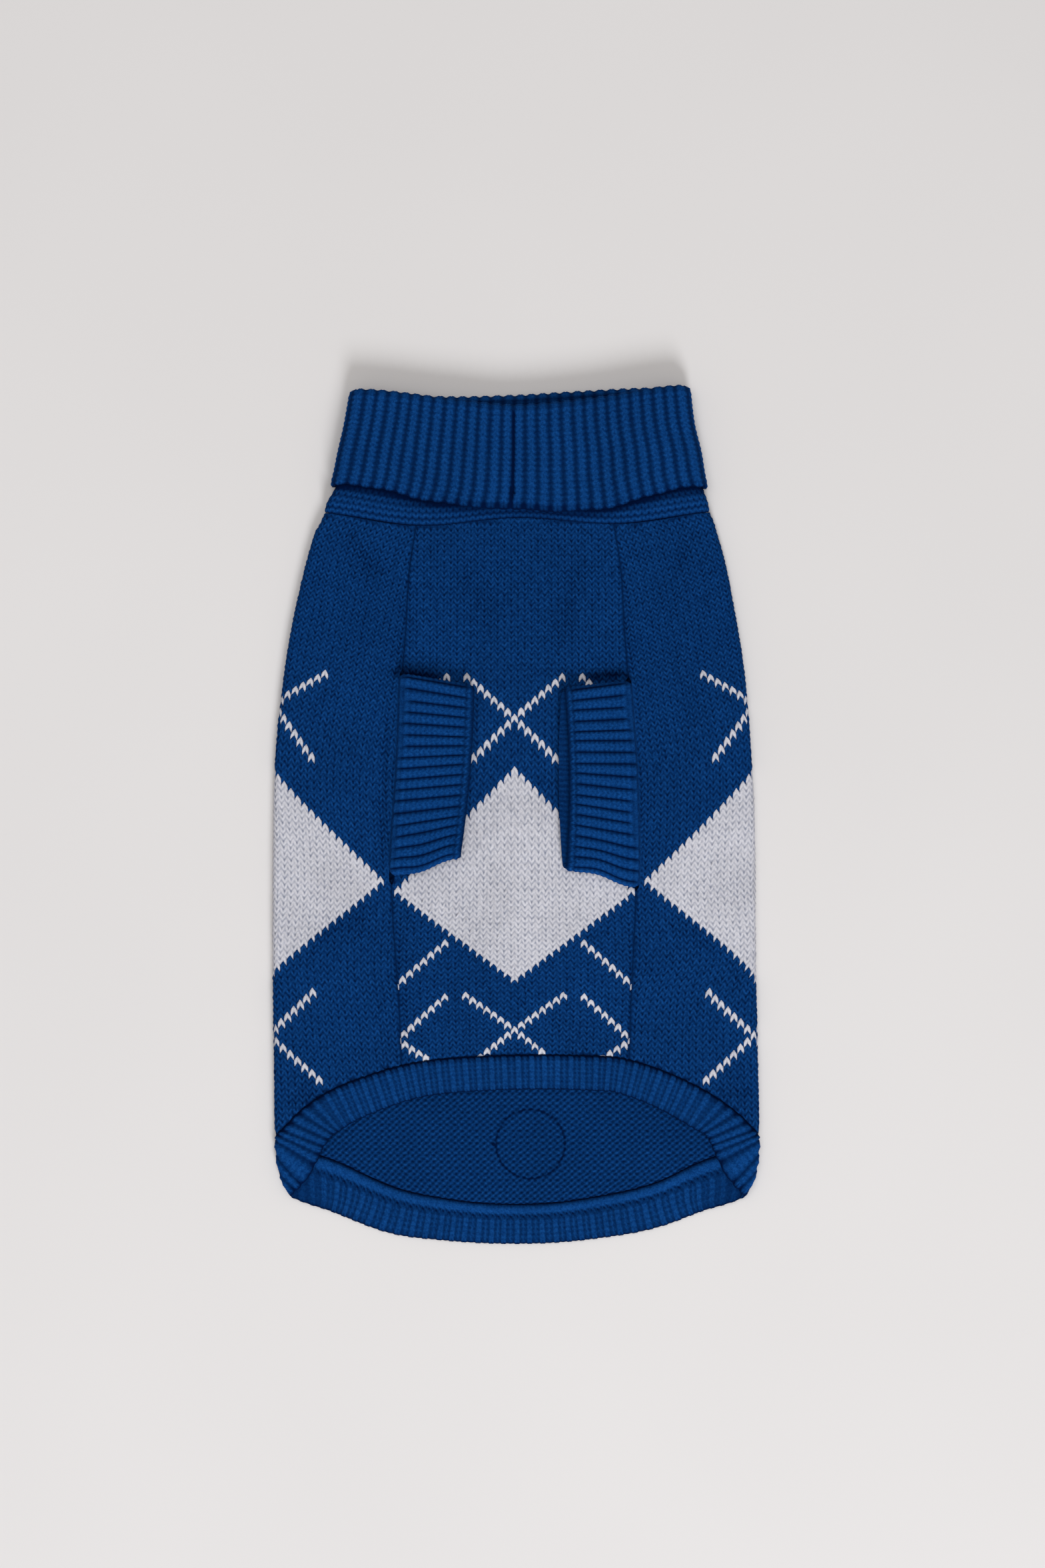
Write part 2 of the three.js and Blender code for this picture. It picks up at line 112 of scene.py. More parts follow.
bodyOutline = dict(
    y=[163, 158, 151.9, 137.5, 108.7, 79.9, 29.5, -6.5, -78.5, -130, -182, -194, -202, -209, -235],
    left=[-102.9, -105.2, -108.4, -112.7, -119.5, -124.6, -130, -130.9, -131.2, -130.6, -129.2, -127.2,
          -123.8, -121, -120],
    right=[104.4, 106.8, 108.6, 112.7, 118.4, 123.1, 127.4, 129, 129.6, 130.7, 130.9, 129.2, 126, 122.6, 121])

neckSeam = dict(
    place=[-3, -2.4, -2, -1, -0.52, 0, 0.54, 1, 2, 2.4, 3],
    y=[164, 163.8, 162.9, 162.2, 155.6, 159.8, 156.6, 162.6, 163.2, 163.8, 164])

hemSeam = dict(  # band is the hem band's width there
    place=[-3, -2.86, -2.68, -2.46, -2.24, -2, -1, -0.915, -0.795, -0.645, -0.43, -0.155,
           0.3, 0.465, 0.795, 0.95, 1, 2, 2.245, 2.4, 2.68, 2.86, 3],
    y=[-210, -209.5, -207, -201, -187.5, -175.5, -170, -159.5, -149, -141.1, -133.4, -130,
       -129.6, -131.4, -148.3, -162.5, -169, -175.5, -188.5, -198.5, -206.6, -209.4, -210],
    band=[21.5, 21.7, 22.8, 25.5, 29, 28, 24.5, 22, 21, 20, 19, 18.7,
          18.7, 19, 21, 22, 24.5, 28, 28, 25, 22.6, 21.7, 21.5])

bellySeams = {
    -1: dict(neckEnd=76.2, hemEnd=-35.6,
             y=[157, 131.8, 98.6, 76.3, 29.2, -16.2, -37.8, -100.4, -137],
             x=[-53.4, -57.2, -59.2, -61.0, -62.8, -65.9, -66.8, -63.0, -61.5]),
    1: dict(neckEnd=72.2, hemEnd=-38.8,
            y=[157, 131.8, 98.6, 72.4, 22.3, -16.2, -40.0, -100.4, -137],
            x=[52.6, 56.5, 58.4, 60.6, 64.0, 65.2, 64.8, 62.0, 60.8])}
# The cloth beside an armhole turns up into the sleeve, with less painted shade at its seam.
armhole = dict(halfWidth=1.45, taper=2.0, rise=1.7, reach=4.2, shade=0.5)
# Near a panel's cut edges the stitches fade out, sink into the seam and darken with painted shade.
cutEdge = dict(fade=1.2, seamDip=0.3, seamShade=0.28, hemReach=1.6, hemDip=0.75, hemDarken=0.35)
swell = dict(neckY=150, neckReach=70, hemY=128, hemReach=60)  # where the front rises to its full height

# Soft hollows in the front, in pixels of the picture from one end to the other, then half width and depth.
# The last four are the folds above the sleeves, with a deep painted shadow, and the lines of their seams.
creases = [
    ((618, 796), (608, 900), 1.3, 0.45), ((606, 905), (599, 1002), 2.2, 0.35),
    ((930, 798), (939, 880), 1.3, 0.40), ((941, 890), (948, 1006), 2.0, 0.40),
    ((600, 1385), (598, 1470), 2.4, 0.40), ((600, 1485), (606, 1592), 3.0, 0.50),
    ((951, 1392), (949, 1500), 2.6, 0.45), ((948, 1508), (942, 1588), 2.2, 0.35),
    ((522, 792), (566, 862), 5.0, 0.45), ((1046, 796), (1012, 850), 4.2, 0.35),
    ((428, 1652), (486, 1640), 3.6, 0.50), ((432, 1624), (470, 1606), 5.0, 0.30),
    ((1132, 1640), (1078, 1634), 3.8, 0.45), ((1120, 1612), (1090, 1596), 4.6, 0.25),
    ((560, 1372), (470, 1398), 7.0, 0.40), ((1000, 1376), (1080, 1420), 6.0, 0.30),
    ((690, 850), (742, 930), 8.0, 0.35), ((870, 842), (838, 960), 7.0, 0.30),
    ((592, 1008), (664, 1019), 2.2, 2.4), ((874, 1018), (940, 1012), 1.8, 2.0),
    ((580, 1072), (572, 1312), 1.1, 0.55), ((957, 1100), (964, 1296), 1.1, 0.45)]
creaseEnds = dict(before=0.15, reach=0.4)  # how a hollow fades at its ends, in shares of its length
# Painted shade in a hollow for each millimetre of its depth.
creaseShade = 0.3
# The camera stands over this point of the picture and of the floor. scale is the floor's millimetres a pixel.
photo = dict(column=784, row=1176, x=3.6, y=16.56, scale=0.36, cameraHeight=1575, rowAtZero=1222)


def fromPhoto(px, py, height=7.0):  # a place in the picture, seen on a surface this high
    shrink = 1 - height / photo["cameraHeight"]
    return (photo["x"] + (px - photo["column"]) * photo["scale"] * shrink,
            photo["y"] - (py - photo["row"]) * photo["scale"] * shrink)


def hollow(x, y):
    total = 0.0 * x
    for start, end, width, depth in creases:
        (ax, ay), (bx, by) = fromPhoto(*start), fromPhoto(*end)
        runX, runY = bx - ax, by - ay
        length = math.hypot(runX, runY)
        along = ((x - ax) * runX + (y - ay) * runY) / length**2
        away = ((x - ax) * runY - (y - ay) * runX) / length
        before, reach = creaseEnds["before"], creaseEnds["reach"]
        started = depth * bell(away, width) * ease((along + before) / reach)
        total = total + started * ease((1 + before - along) / reach)
    return total


def bodyWidth(y):
    left = read(bodyOutline, "y", "left", y)
    right = read(bodyOutline, "y", "right", y)
    return (left + right) / 2, (right - left) / 2 - cloth["foldRadius"]


def frontHeight(across, y):  # the front swells a little between the neck and the hem
    share = ease((swell["neckY"] - y) / swell["neckReach"]) * ease((y + swell["hemY"]) / swell["hemReach"])
    return 2 * cloth["foldRadius"] + cloth["crownRise"] * share * (1 - limit(across, -1, 1) ** 2) ** 2


def bodyPoint(place, y, inset):
    middle, flat = bodyWidth(y)
    across, side, turn = around(place)
    rise = np.where(turn == 0, frontHeight(across, y) - 2 * cloth["foldRadius"], 0.0)
    radius = cloth["foldRadius"] - inset
    return np.stack([middle + across * flat + side * radius * np.sin(turn), y + 0 * place,
                     cloth["foldRadius"] + radius * np.cos(turn) + rise], -1)


def seamX(side, y):
    return read(bellySeams[side], "y", "x", y)


def opened(side, y):  # 1 along the armhole, 0 along the rest of the seam
    seam, taper = bellySeams[side], armhole["taper"]
    return limit(np.minimum((seam["neckEnd"] + taper - y) / taper, (y - seam["hemEnd"] + taper) / taper))


def halfGap(side, y):
    return mix(cloth["seamGap"] / 2, armhole["halfWidth"], opened(side, y))


def neckY(place):
    return readRound(neckSeam, "y", place) - cloth["seamGap"] / 2


def hemY(place):
    return readRound(hemSeam, "y", place) + cloth["seamGap"] / 2


def frontPlace(x, y):
    middle, flat = bodyWidth(y)
    return limit((x - middle) / flat, -1, 1)


cellsPerMm = 25  # points of a seam that fall in one such cell become one
sharpDegrees = 72  # a rim turns more sharply than this, and the stitches less


def gridQuads(rows, columns, wraps):
    spans = columns if wraps else columns - 1
    ids = np.arange(rows * columns).reshape(rows, columns)
    r, c = np.meshgrid(np.arange(rows - 1), np.arange(spans), indexing="ij")
    right = (c + 1) % columns
    return np.stack([ids[r, c], ids[r + 1, c], ids[r + 1, right], ids[r, right]], -1).reshape(-1, 4)


def gridUvs(uv):
    return np.stack([uv[:-1, :-1], uv[1:, :-1], uv[1:, 1:], uv[:-1, 1:]], -2).reshape(-1, 4, 2)


def joinPoints(points, quads):  # points that fell on one place of a seam become one
    cells = np.round(points * cellsPerMm).astype(np.int64)
    _, first, same = np.unique(cells, axis=0, return_index=True, return_inverse=True)
    return first[same.reshape(-1)][quads]


def splitFaces(quads, uvs):  # a quad that lost one corner becomes a triangle, and one that lost two goes
    distinct = (quads != np.roll(quads, -1, 1)).sum(1)
    distinct[(quads[:, 0] == quads[:, 2]) | (quads[:, 1] == quads[:, 3])] = 0
    whole, three = distinct == 4, distinct == 3
    corners = quads[three]
    lost = (corners == np.roll(corners, -1, 1)).argmax(1)
    order = np.array([[1, 2, 3], [0, 2, 3], [0, 1, 3], [0, 1, 2]])[lost]
    triUvs = np.take_along_axis(uvs[three], order[..., None], 1)
    return whole, three, np.take_along_axis(corners, order, 1), triUvs


def faceSides(faces, uvs):
    count = faces.shape[1]
    edges = np.concatenate([np.stack([faces[:, i], faces[:, (i + 1) % count]], -1) for i in range(count)])
    edgeUvs = np.concatenate([np.stack([uvs[:, i], uvs[:, (i + 1) % count]], 1) for i in range(count)])
    return edges, edgeUvs


# Faces from the free edges of the outer grid to the inner one, whose points come total later.
def rimFaces(quads, quadUvs, tris, triUvs, total):
    sides = zip(faceSides(quads, quadUvs), faceSides(tris, triUvs))
    edges, edgeUvs = (np.concatenate(pair) for pair in sides)
    edges = edges.astype(np.int64)
    free = ~np.isin(edges[:, 1] * total + edges[:, 0], edges[:, 0] * total + edges[:, 1])
    a, b = edges[free, 0], edges[free, 1]
    return np.stack([b, a, a + total, b + total], -1), edgeUvs[free][:, [1, 0, 0, 1]]


def signedVolume(points, faces):
    a = points[faces[:, 0]]
    return sum(np.einsum("ij,ij->", a, np.cross(points[faces[:, i]], points[faces[:, i + 1]]))
               for i in range(1, faces.shape[1] - 1)) / 6


# A closed wall of cloth between an outer and an inner grid of points. white is a number for each quad of the
# outer grid, kept chooses its points, shade is painted shade, 0 in a gap and 1 on top of the yarn, and purl
# marks a purl side inside.
def clothWall(name, outer, inner, uv, shade, innerShade, material, white=None, kept=None, wraps=False,
              purl=0.0):
    rows, columns = outer.shape[:2]
    total = rows * columns
    quads, uvs = gridQuads(rows, columns, wraps), gridUvs(uv)
    white = np.zeros(len(quads)) if white is None else white.reshape(-1)
    if kept is not None:
        some = kept.reshape(-1)[quads].any(1)
        quads, uvs, white = quads[some], uvs[some], white[some]
    quads = joinPoints(outer.reshape(-1, 3), quads)
    whole, three, tris, triUvs = splitFaces(quads, uvs)
    rim, rimUvs = rimFaces(quads[whole], uvs[whole], tris, triUvs, total)
    quads, quadUvs = quads[whole], uvs[whole]
    plainRim, plainTris = np.zeros(len(rim)), np.zeros(len(tris))
    faces = dict(
        quads=np.concatenate([quads, quads[:, ::-1] + total, rim]),
        quadUvs=np.concatenate([quadUvs, quadUvs[:, ::-1], rimUvs]),
        tris=np.concatenate([tris, tris[:, ::-1] + total]),
        triUvs=np.concatenate([triUvs, triUvs[:, ::-1]]),
        white=np.concatenate([white[whole], np.zeros(len(quads)), plainRim, white[three], plainTris]),
        purl=np.concatenate([np.zeros(len(quads)), np.full(len(quads), purl), plainRim, plainTris,
                             np.full(len(tris), purl)]))
    points = np.concatenate([outer.reshape(-1, 3), inner.reshape(-1, 3)])
    shades = np.concatenate([shade.reshape(-1), innerShade.reshape(-1)])
    corners = np.concatenate([faces["quads"].ravel(), faces["tris"].ravel()])
    used, ids = np.unique(corners, return_inverse=True)
    ids, split = ids.reshape(-1), faces["quads"].size
    faces["quads"], faces["tris"] = ids[:split].reshape(-1, 4), ids[split:].reshape(-1, 3)
    points = points[used]
    if signedVolume(points, faces["quads"]) + signedVolume(points, faces["tris"]) < 0:
        for key in ("quads", "quadUvs", "tris", "triUvs"):
            faces[key] = faces[key][:, ::-1]
    return meshObject(name, points, faces, shades[used], material)


def setAttribute(mesh, name, domain, values):
    layer = mesh.attributes.new(name, "FLOAT", domain)
    layer.data.foreach_set("value", np.asarray(values, np.float32).ravel())


def meshObject(name, points, faces, shades, material):
    quads, tris = faces["quads"], faces["tris"]
    mesh = bpy.data.meshes.new(name)
    loops = np.concatenate([quads.ravel(), tris.ravel()])
    starts = np.concatenate([np.arange(len(quads)) * 4, len(quads) * 4 + np.arange(len(tris)) * 3])
    mesh.vertices.add(len(points))
    mesh.vertices.foreach_set("co", (points * 0.001).astype(np.float32).ravel())
    mesh.loops.add(len(loops))
    mesh.loops.foreach_set("vertex_index", loops.astype(np.int32))
    mesh.polygons.add(len(starts))
    mesh.polygons.foreach_set("loop_start", starts.astype(np.int32))
    mesh.update(calc_edges=True)
    mesh.validate()
    layer = mesh.uv_layers.new(name="stitches")
    uvs = np.concatenate([faces["quadUvs"].reshape(-1), faces["triUvs"].reshape(-1)])
    layer.data.foreach_set("uv", uvs.astype(np.float32))
    setAttribute(mesh, "white", "FACE", faces["white"])
    setAttribute(mesh, "purl", "FACE", faces["purl"])
    setAttribute(mesh, "shade", "POINT", limit(shades))
    mesh.polygons.foreach_set("use_smooth", np.ones(len(starts), bool))
    mesh.set_sharp_from_angle(angle=math.radians(sharpDegrees))
    mesh.materials.append(material)
    piece = bpy.data.objects.new(name, mesh)
    scene.collection.objects.link(piece)
    print(name, 2 * len(quads) + len(tris), "triangles")
    return piece


# Half a wale, from the middle of a stitch to the gap beside it: on a row of stitches and between two rows.
stitch = dict(
    at=[0.0, 0.25, 0.5], onRow=[-0.18, 0.0, -0.24], between=[-0.62, -0.40, -0.74], lean=[-0.38, 0.0, 0.38],
    shadeOnRow=[0.84, 1.0, 0.76], shadeBetween=[0.26, 0.46, 0.08], slack=0.11, mottle=0.10, jitter=0.12)


def betweenCourses(course):  # 0 on a row of stitches, 1 halfway to the next
    return 2 * np.abs(course - np.round(course))


def acrossWale(wale, column):
    return np.interp(np.abs(wale - np.round(wale)), stitch["at"], stitch[column])


def stitchRelief(wale, course):
    between = betweenCourses(course)
    slack = chance.normal(0, stitch["slack"], wale.shape)
    return (mix(acrossWale(wale, "onRow"), acrossWale(wale, "between"), between) + slack,
            mix(acrossWale(wale, "shadeOnRow"), acrossWale(wale, "shadeBetween"), between)
            + chance.normal(0, stitch["mottle"], wale.shape))


def jitter(shape, amount=stitch["jitter"]):
    return chance.normal(0, amount, shape)


def stitchGrid(courses, wales):  # two rows of points to a stitch, and the columns that are given
    top, bottom = courses
    return np.meshgrid(np.arange(top - 0.5, bottom + 0.51, 0.5), wales, indexing="ij")


def sinkAtEdges(height, fade, nearHem):
    return height * fade - cutEdge["seamDip"] * (1 - fade) - cutEdge["hemDip"] * nearHem


def darkenAtEdges(shade, seamShade, fade, nearHem):
    return mix(seamShade, shade, fade) * (1 - cutEdge["hemDarken"] * nearHem)


# Stitch rows down the middle of the panel, where they cross the picture, and how far they sag at its seams.
bellyKnit = dict(
    waleMiddle=772.0,
    pitch=dict(y=[780, 1080, 1337, 1473, 1600], wale=[10.04, 10.2, 10.3, 10.5, 10.2]),
    rows=dict(course=[-64, -48, -32, -25, -18, 0, 6, 17, 27, 36],
              y=[756, 886, 1016.6, 1078, 1147.6, 1328, 1379.5, 1468, 1545.8, 1616]),
    sag=dict(course=[-64, -25, -17, 0, 10, 16, 20, 27, 36], y=[0, 0, 4, 9, 10, 12, 14, 16, 22]),
    courses=(-62, 34), wales=18.5, sagWale=17, insideShade=0.7)

# The argyle chart in stitches: a diamond, crosses above and below it, and the diamond's lower diagonals.
argyle = dict(diamond=17, arm=7, crossAbove=-25, crossBelow=27, diagonal=(10, 17))


def cross(wale, course, middleWale, middleCourse):
    across, along = np.abs(wale - middleWale), np.abs(course - middleCourse)
    return (across == along) & (across <= argyle["arm"])


def bellyChart(wale, course):
    reach = argyle["diamond"]
    white = np.abs(wale) + np.abs(course) <= reach
    for middle in (-reach, 0, reach):
        for row in (argyle["crossAbove"], argyle["crossBelow"]):
            white |= cross(wale, course, middle, row)
    start, end = argyle["diagonal"]
    white |= (np.abs(wale) == course) & (course >= start) & (course <= end)
    return white


def bellyXY(wale, course):
    y = read(bellyKnit["rows"], "course", "y", course) \
        + read(bellyKnit["sag"], "course", "y", course) * (wale / bellyKnit["sagWale"]) ** 2
    x = bellyKnit["waleMiddle"] + wale * read(bellyKnit["pitch"], "y", "wale", y)
    return fromPhoto(x, y)


def stitchCentres(wale, course):
    return np.round((wale[:-1, :-1] + wale[:-1, 1:]) / 2), np.round((course[:-1, :-1] + course[1:, :-1]) / 2)


def makeBellyPanel(material):
    wales = np.arange(-bellyKnit["wales"], bellyKnit["wales"] + 0.01, 0.25)
    course, wale = stitchGrid(bellyKnit["courses"], wales)
    x, y = bellyXY(wale, course)
    place = frontPlace(x, y)
    toSeam = np.minimum(x - seamX(-1, y) - halfGap(-1, y), seamX(1, y) - halfGap(1, y) - x)
    toHem = y - hemY(place)
    spare = np.minimum(np.minimum(toSeam, toHem), neckY(place) - y)
    kept = spare > 0
    fade = limit(spare / cutEdge["fade"])
    nearHem = 1 - limit(toHem / cutEdge["hemReach"])
    x, y = bellyXY(wale, course + acrossWale(wale, "lean") * fade)
    x, y = x + jitter(x.shape) * fade, y + jitter(x.shape) * fade
    for _ in range(2):
        x = np.where(kept, x, np.clip(x, seamX(-1, y) + halfGap(-1, y), seamX(1, y) - halfGap(1, y)))
        place = frontPlace(x, y)
        y = np.where(kept, y, np.clip(y, hemY(place), neckY(place)))
    height, shade = stitchRelief(wale, course)
    height = sinkAtEdges(height, fade, nearHem)
    sunk = hollow(x, y)
    shade = darkenAtEdges(shade - creaseShade * sunk, cutEdge["seamShade"], fade, nearHem)
    z = frontHeight(frontPlace(x, y), y) - sunk
    outer = np.stack([x, y, z + height], -1)
    inner = np.stack([x, y, z - cloth["bodyWall"]], -1)
    innerShade = 0 * shade + bellyKnit["insideShade"]
    white = bellyChart(*stitchCentres(wale, course)).astype(float)
    return clothWall("bellyPanel", outer, inner, np.stack([wale, -course], -1), shade, innerShade, material,
                     white=white, kept=kept, purl=1.0)


# Rows of stitches where they reach the side fold, how they tilt down towards the belly, and the wales'
# widths. Columns are fine in front, and one a wale underneath.
backKnit = dict(
    rows=dict(course=[-70, -60, -26, -15.8, 0, 15.8, 26, 60],
              y=[708, 788, 1060, 1161, 1309, 1456, 1553, 1869]),
    foldWale={-1: dict(y=[850, 1002, 1138, 1180, 1320, 1450, 1485, 1625, 1700],
                       wale=[1.6, 1.6, 2.3, 2.2, 1.5, 2.2, 1.9, 1.2, 1.1]),
              1: dict(y=[850, 1002, 1132, 1180, 1320, 1440, 1482, 1612, 1700],
                      wale=[1.5, 1.5, 2.3, 2.2, 1.5, 1.9, 0.8, 0.2, 0.2])},
    tilt=dict(y=[850, 1000, 1060, 1160, 1310, 1450, 1560, 1680], degrees=[16, 13, 11, 8, 4.5, 3, 2, 0]),
    pitch=dict(y=[850, 1000, 1320, 1600], wale=[3.5, 3.55, 3.58, 3.72]),
    sideWales=20.5, fineWales=-2.5, backWales=34, courses=(-69, 55), crosses=(-26, 26), wander=0.025)
backUnder = dict(height=-0.2, relief=0.15, lean=0.35, most=-0.1)  # nothing is raised where it lies on the floor
# The back's purl inside: how far its courses sink between rows, and its painted shade, darker between rows and at
# the hem's seam.
backInside = dict(purlHeight=0.16, shade=0.92, relief=0.12, hemDarken=0.75)


def sideChart(wale, course):
    reach = argyle["diamond"]
    n = (wale + reach) % (2 * reach) - reach
    white = np.abs(n) + np.abs(course) <= reach
    for row in backKnit["crosses"]:
        white |= cross(n, course, 0, row)
    return white & (wale <= reach)


def sidePoint(side, wale, course, inset):  # the point, its place round the body and whether it is in front
    _, yFold = fromPhoto(0, read(backKnit["rows"], "course", "y", course), cloth["foldRadius"])
    picture = photo["rowAtZero"] - yFold / photo["scale"]
    tilt = np.radians(read(backKnit["tilt"], "y", "degrees", picture))
    left, right = (read(backKnit["foldWale"][each], "y", "wale", picture) for each in (-1, 1))
    foldWale = np.where(side < 0, left, right)
    middle, flat = bodyWidth(yFold)
    inward = np.maximum(wale - foldWale, 0) * read(backKnit["pitch"], "y", "wale", picture)
    frontX = middle + side * (flat - inward * np.cos(tilt))
    frontY = yFold - inward * np.sin(tilt)
    place = frontPlace(frontX, frontY)
    front = np.stack([frontX, frontY, frontHeight(place, frontY) - hollow(frontX, frontY) - inset], -1)
    foldArc = math.pi * cloth["foldRadius"]
    beyond = np.maximum(foldWale - wale, 0) * (foldArc + flat) / (foldWale + backKnit["backWales"])
    round3 = np.minimum(np.where(beyond < foldArc, 1 + beyond / foldArc, 2 + (beyond - foldArc) / flat), 3)
    isFront = wale >= foldWale
    return (np.where(isFront[..., None], front, bodyPoint(side * round3, yFold, inset)),
            np.where(isFront, side * np.abs(place), side * round3), isFront)


def backColumns():  # from the left seam round underneath to the right one
    near = np.arange(backKnit["sideWales"], backKnit["fineWales"], -0.25)
    under = np.arange(backKnit["fineWales"], -backKnit["backWales"], -1.0)
    half = np.concatenate([near, under])
    wales = np.concatenate([half, [-backKnit["backWales"]], half[::-1]])
    return wales, np.concatenate([-np.ones(len(half) + 1), np.ones(len(half))])


def besideSeam(side, y):
    return np.where(side < 0, seamX(-1, y) - halfGap(-1, y), seamX(1, y) + halfGap(1, y))


def holdInside(grid, side, place, isFront, kept):  # points past a seam go back onto it
    for _ in range(2):
        x, y = grid[..., 0], grid[..., 1]
        line = besideSeam(side, y)
        x = np.where(kept | ~isFront, x, np.where(side < 0, np.minimum(x, line), np.maximum(x, line)))
        here = np.where(isFront, side * np.abs(frontPlace(x, y)), place)
        y = np.where(kept, y, np.clip(y, hemY(here), neckY(here)))
        grid[..., 0], grid[..., 1] = x, y


def makeBackPanel(material):
    wales, sides = backColumns()
    course, wale = stitchGrid(backKnit["courses"], wales)
    side = np.broadcast_to(sides, wale.shape)
    underneath = wale < backKnit["fineWales"] + 0.1
    points, place, isFront = sidePoint(side, wale, course, 0.0)
    x, y = points[..., 0], points[..., 1]
    toSeam = np.where(isFront, side * (x - besideSeam(side, y)), np.inf)
    toHem = y - hemY(place)
    spare = np.minimum(toSeam, np.minimum(neckY(place) - y, toHem))
    kept = spare > 0
    fade = limit(spare / cutEdge["fade"])
    nearHem = 1 - limit(toHem / cutEdge["hemReach"])
    between = betweenCourses(course)
    height, shade = stitchRelief(wale, course)
    height = np.where(underneath, backUnder["height"] - backUnder["relief"] * between, height)
    height = mix(height, np.minimum(height, backUnder["most"]), limit(2 * np.abs(place) - 3) * ~isFront)
    height = sinkAtEdges(height, fade, nearHem * ~underneath)
    turnedUp = np.where(side < 0, opened(-1, y), opened(1, y)) * isFront
    turnedUp = turnedUp * bell(np.maximum(toSeam, 0), armhole["reach"])
    height = height + turnedUp * (armhole["rise"] + cutEdge["seamDip"] * (1 - fade))
    lean = np.where(underneath, backUnder["lean"], acrossWale(wale, "lean")) * fade
    wander = jitter(wale.shape, backKnit["wander"]) * fade * isFront
    outer = sidePoint(side, wale + wander, course + lean, -height)[0]
    purl = backInside["purlHeight"] * (between - 1) * fade
    inner = sidePoint(side, wale, course + lean, cloth["bodyWall"] + purl - cutEdge["hemDip"] * nearHem)[0]
    for grid in (outer, inner):
        holdInside(grid, side, place, isFront, kept)
    shade = darkenAtEdges(shade - creaseShade * hollow(x, y) * isFront,
                          cutEdge["seamShade"] + armhole["shade"] * turnedUp, fade, nearHem)
    innerShade = backInside["shade"] + backInside["relief"] * (between - 1)
    innerShade = innerShade * (1 - backInside["hemDarken"] * nearHem)
    white = sideChart(*stitchCentres(wale, course)).astype(float)
    acrossBack = np.where(side < 0, -wale, 2 * backKnit["backWales"] + wale)
    return clothWall("backPanel", outer, inner, np.stack([acrossBack, -course], -1), shade, innerShade,
                     material, white=white, kept=kept, purl=1.0)


# A rib from its crown to the middle of the groove beside it, in shares of its width. clearTurn is how far
# round from the floor the ribs rise.
rib = dict(
    at=[0.0, 0.125, 0.25, 0.375, 0.5], raised=[0.6, 0.8, 0.5, 0.12, -0.06], lean=[-0.4, 0.0, 0.4, 0.25, 0.0],
    between=[-0.3, -0.42, -0.4, -0.2, -0.06], steps=8, shadeBase=0.36, shadeReach=0.98, clearTurn=0.7)


def ribShares(count):
    share = np.arange(count * rib["steps"]) / rib["steps"]
    return np.abs(share - np.round(share))


def ribRelief(table, shares, *columns):
    return [np.interp(shares, table["at"], table[column]) for column in columns]


def ribShade(height):
    return rib["shadeBase"] + height / rib["shadeReach"]


def unevenRibs(count, amount):  # a smooth random shift of every column, in ribs
    knots = chance.uniform(-amount, amount, count)
    knots = np.append(knots, knots[0])
    return np.interp(np.arange(count * rib["steps"]) / rib["steps"], np.arange(count + 1), knots)


def onTop(upward):  # no rib is raised on what rests on the floor
    return limit((upward + 1) / rib["clearTurn"])


def rowValue(values, row, rest):  # the list is for the first rows
    return values[row] if row < len(values) else rest


def placesAround(count, flat, fold, shift):
    half = 2 * flat + fold
    return placeAt(-half + 2 * half * (np.arange(count) + shift * rib["steps"]) / count, flat, fold)


def seamStart(place):  # ribs start a little further from their seam at the side folds
    beyondFold = np.abs(np.abs(place) - 1.5) - 0.5
    return cloth["seamGap"] * (0.5 + cloth["foldGap"] * limit(1 - beyondFold / cloth["foldGapReach"]))


def ribTube(name, made, material):  # made holds the points and shades of each row
    outer, inner, shade, innerShade = (np.stack(grid) for grid in zip(*made))
    rows, columns = outer.shape[:2]
    uv = np.stack(np.meshgrid(np.arange(columns + 1) / 4.0, -np.arange(rows) / 2.0), -1)
    return clothWall(name, outer, inner, uv, shade, innerShade, material, wraps=True)


collar = dict(
    ribs=60, flat=95, fold=16, gap=0.8, riseLength=8, standRows=40, foldRows=6, turnedRows=36,
    uneven=0.07, foldRibs=0.4, rimRibs=1.35, innerShade=0.4)
standOutline = dict(
    y=[232, 209.5, 195.1, 180.7, 174, 167, 155], left=[-85, -88.9, -92.2, -95.3, -97.8, -101.8, -103.2],
    right=[90, 92.7, 96.2, 98.7, 100.9, 103.4, 104.4])
collarEdges = dict(
    place=[-3, -2.6, -2.2, -2, -1, -0.4, -0.05, 0.42, 1, 2, 2.3, 2.6, 3],
    top=[226.5, 225.6, 227, 228.8, 229, 223.6, 220.7, 224.0, 231.0, 230.8, 230, 228.6, 226.5],
    free=[174, 174.5, 175, 175.5, 176.8, 166.7, 163.4, 163.4, 175.7, 174.5, 174.5, 174.5, 174])
# How the turned-down layer waves: its height off the stand and its free edge along the garment.
collarWaves = dict(
    place=[-3, -1.2, -1, -0.86, -0.7, -0.55, -0.38, -0.24, -0.1,
           0.06, 0.2, 0.37, 0.5, 0.68, 0.8, 0.93, 1.1, 3],
    lift=[0, 0, 0.5, 1.2, 0.9, 1.3, 0.5, 0.5, 0.05, 0.15, 0.5, 0.4, 1.1, 0.9, 1.3, 0.6, 0, 0],
    edge=[0, 0, 0.2, -0.5, 0.3, -0.4, 0.5, -0.3, 0.2, 0.5, -0.4, 0.3, -0.5, 0.4, -0.4, 0.2, 0, 0])
# The plain band of the stand that shows below the turned-down layer, and the shadow at the layer's free edge,
# which lies close to the stand in the middle.
neckBand = dict(
    rows=12, height=0.5, firstHeights=[-0.2, 0.55, 0.1], most=0.55, shade=0.9, firstShades=[0.3, 0.9, 0.6],
    under=3, sideTurn=0.6, shadowWidth=2.9, darken=0.95, middle=0.36, middleStart=0.3, middleShadow=0.45)
standInside = dict(start=0.72, reach=0.15, sink=0.1, strength=0.5, most=0.25)  # ribs inside the neck
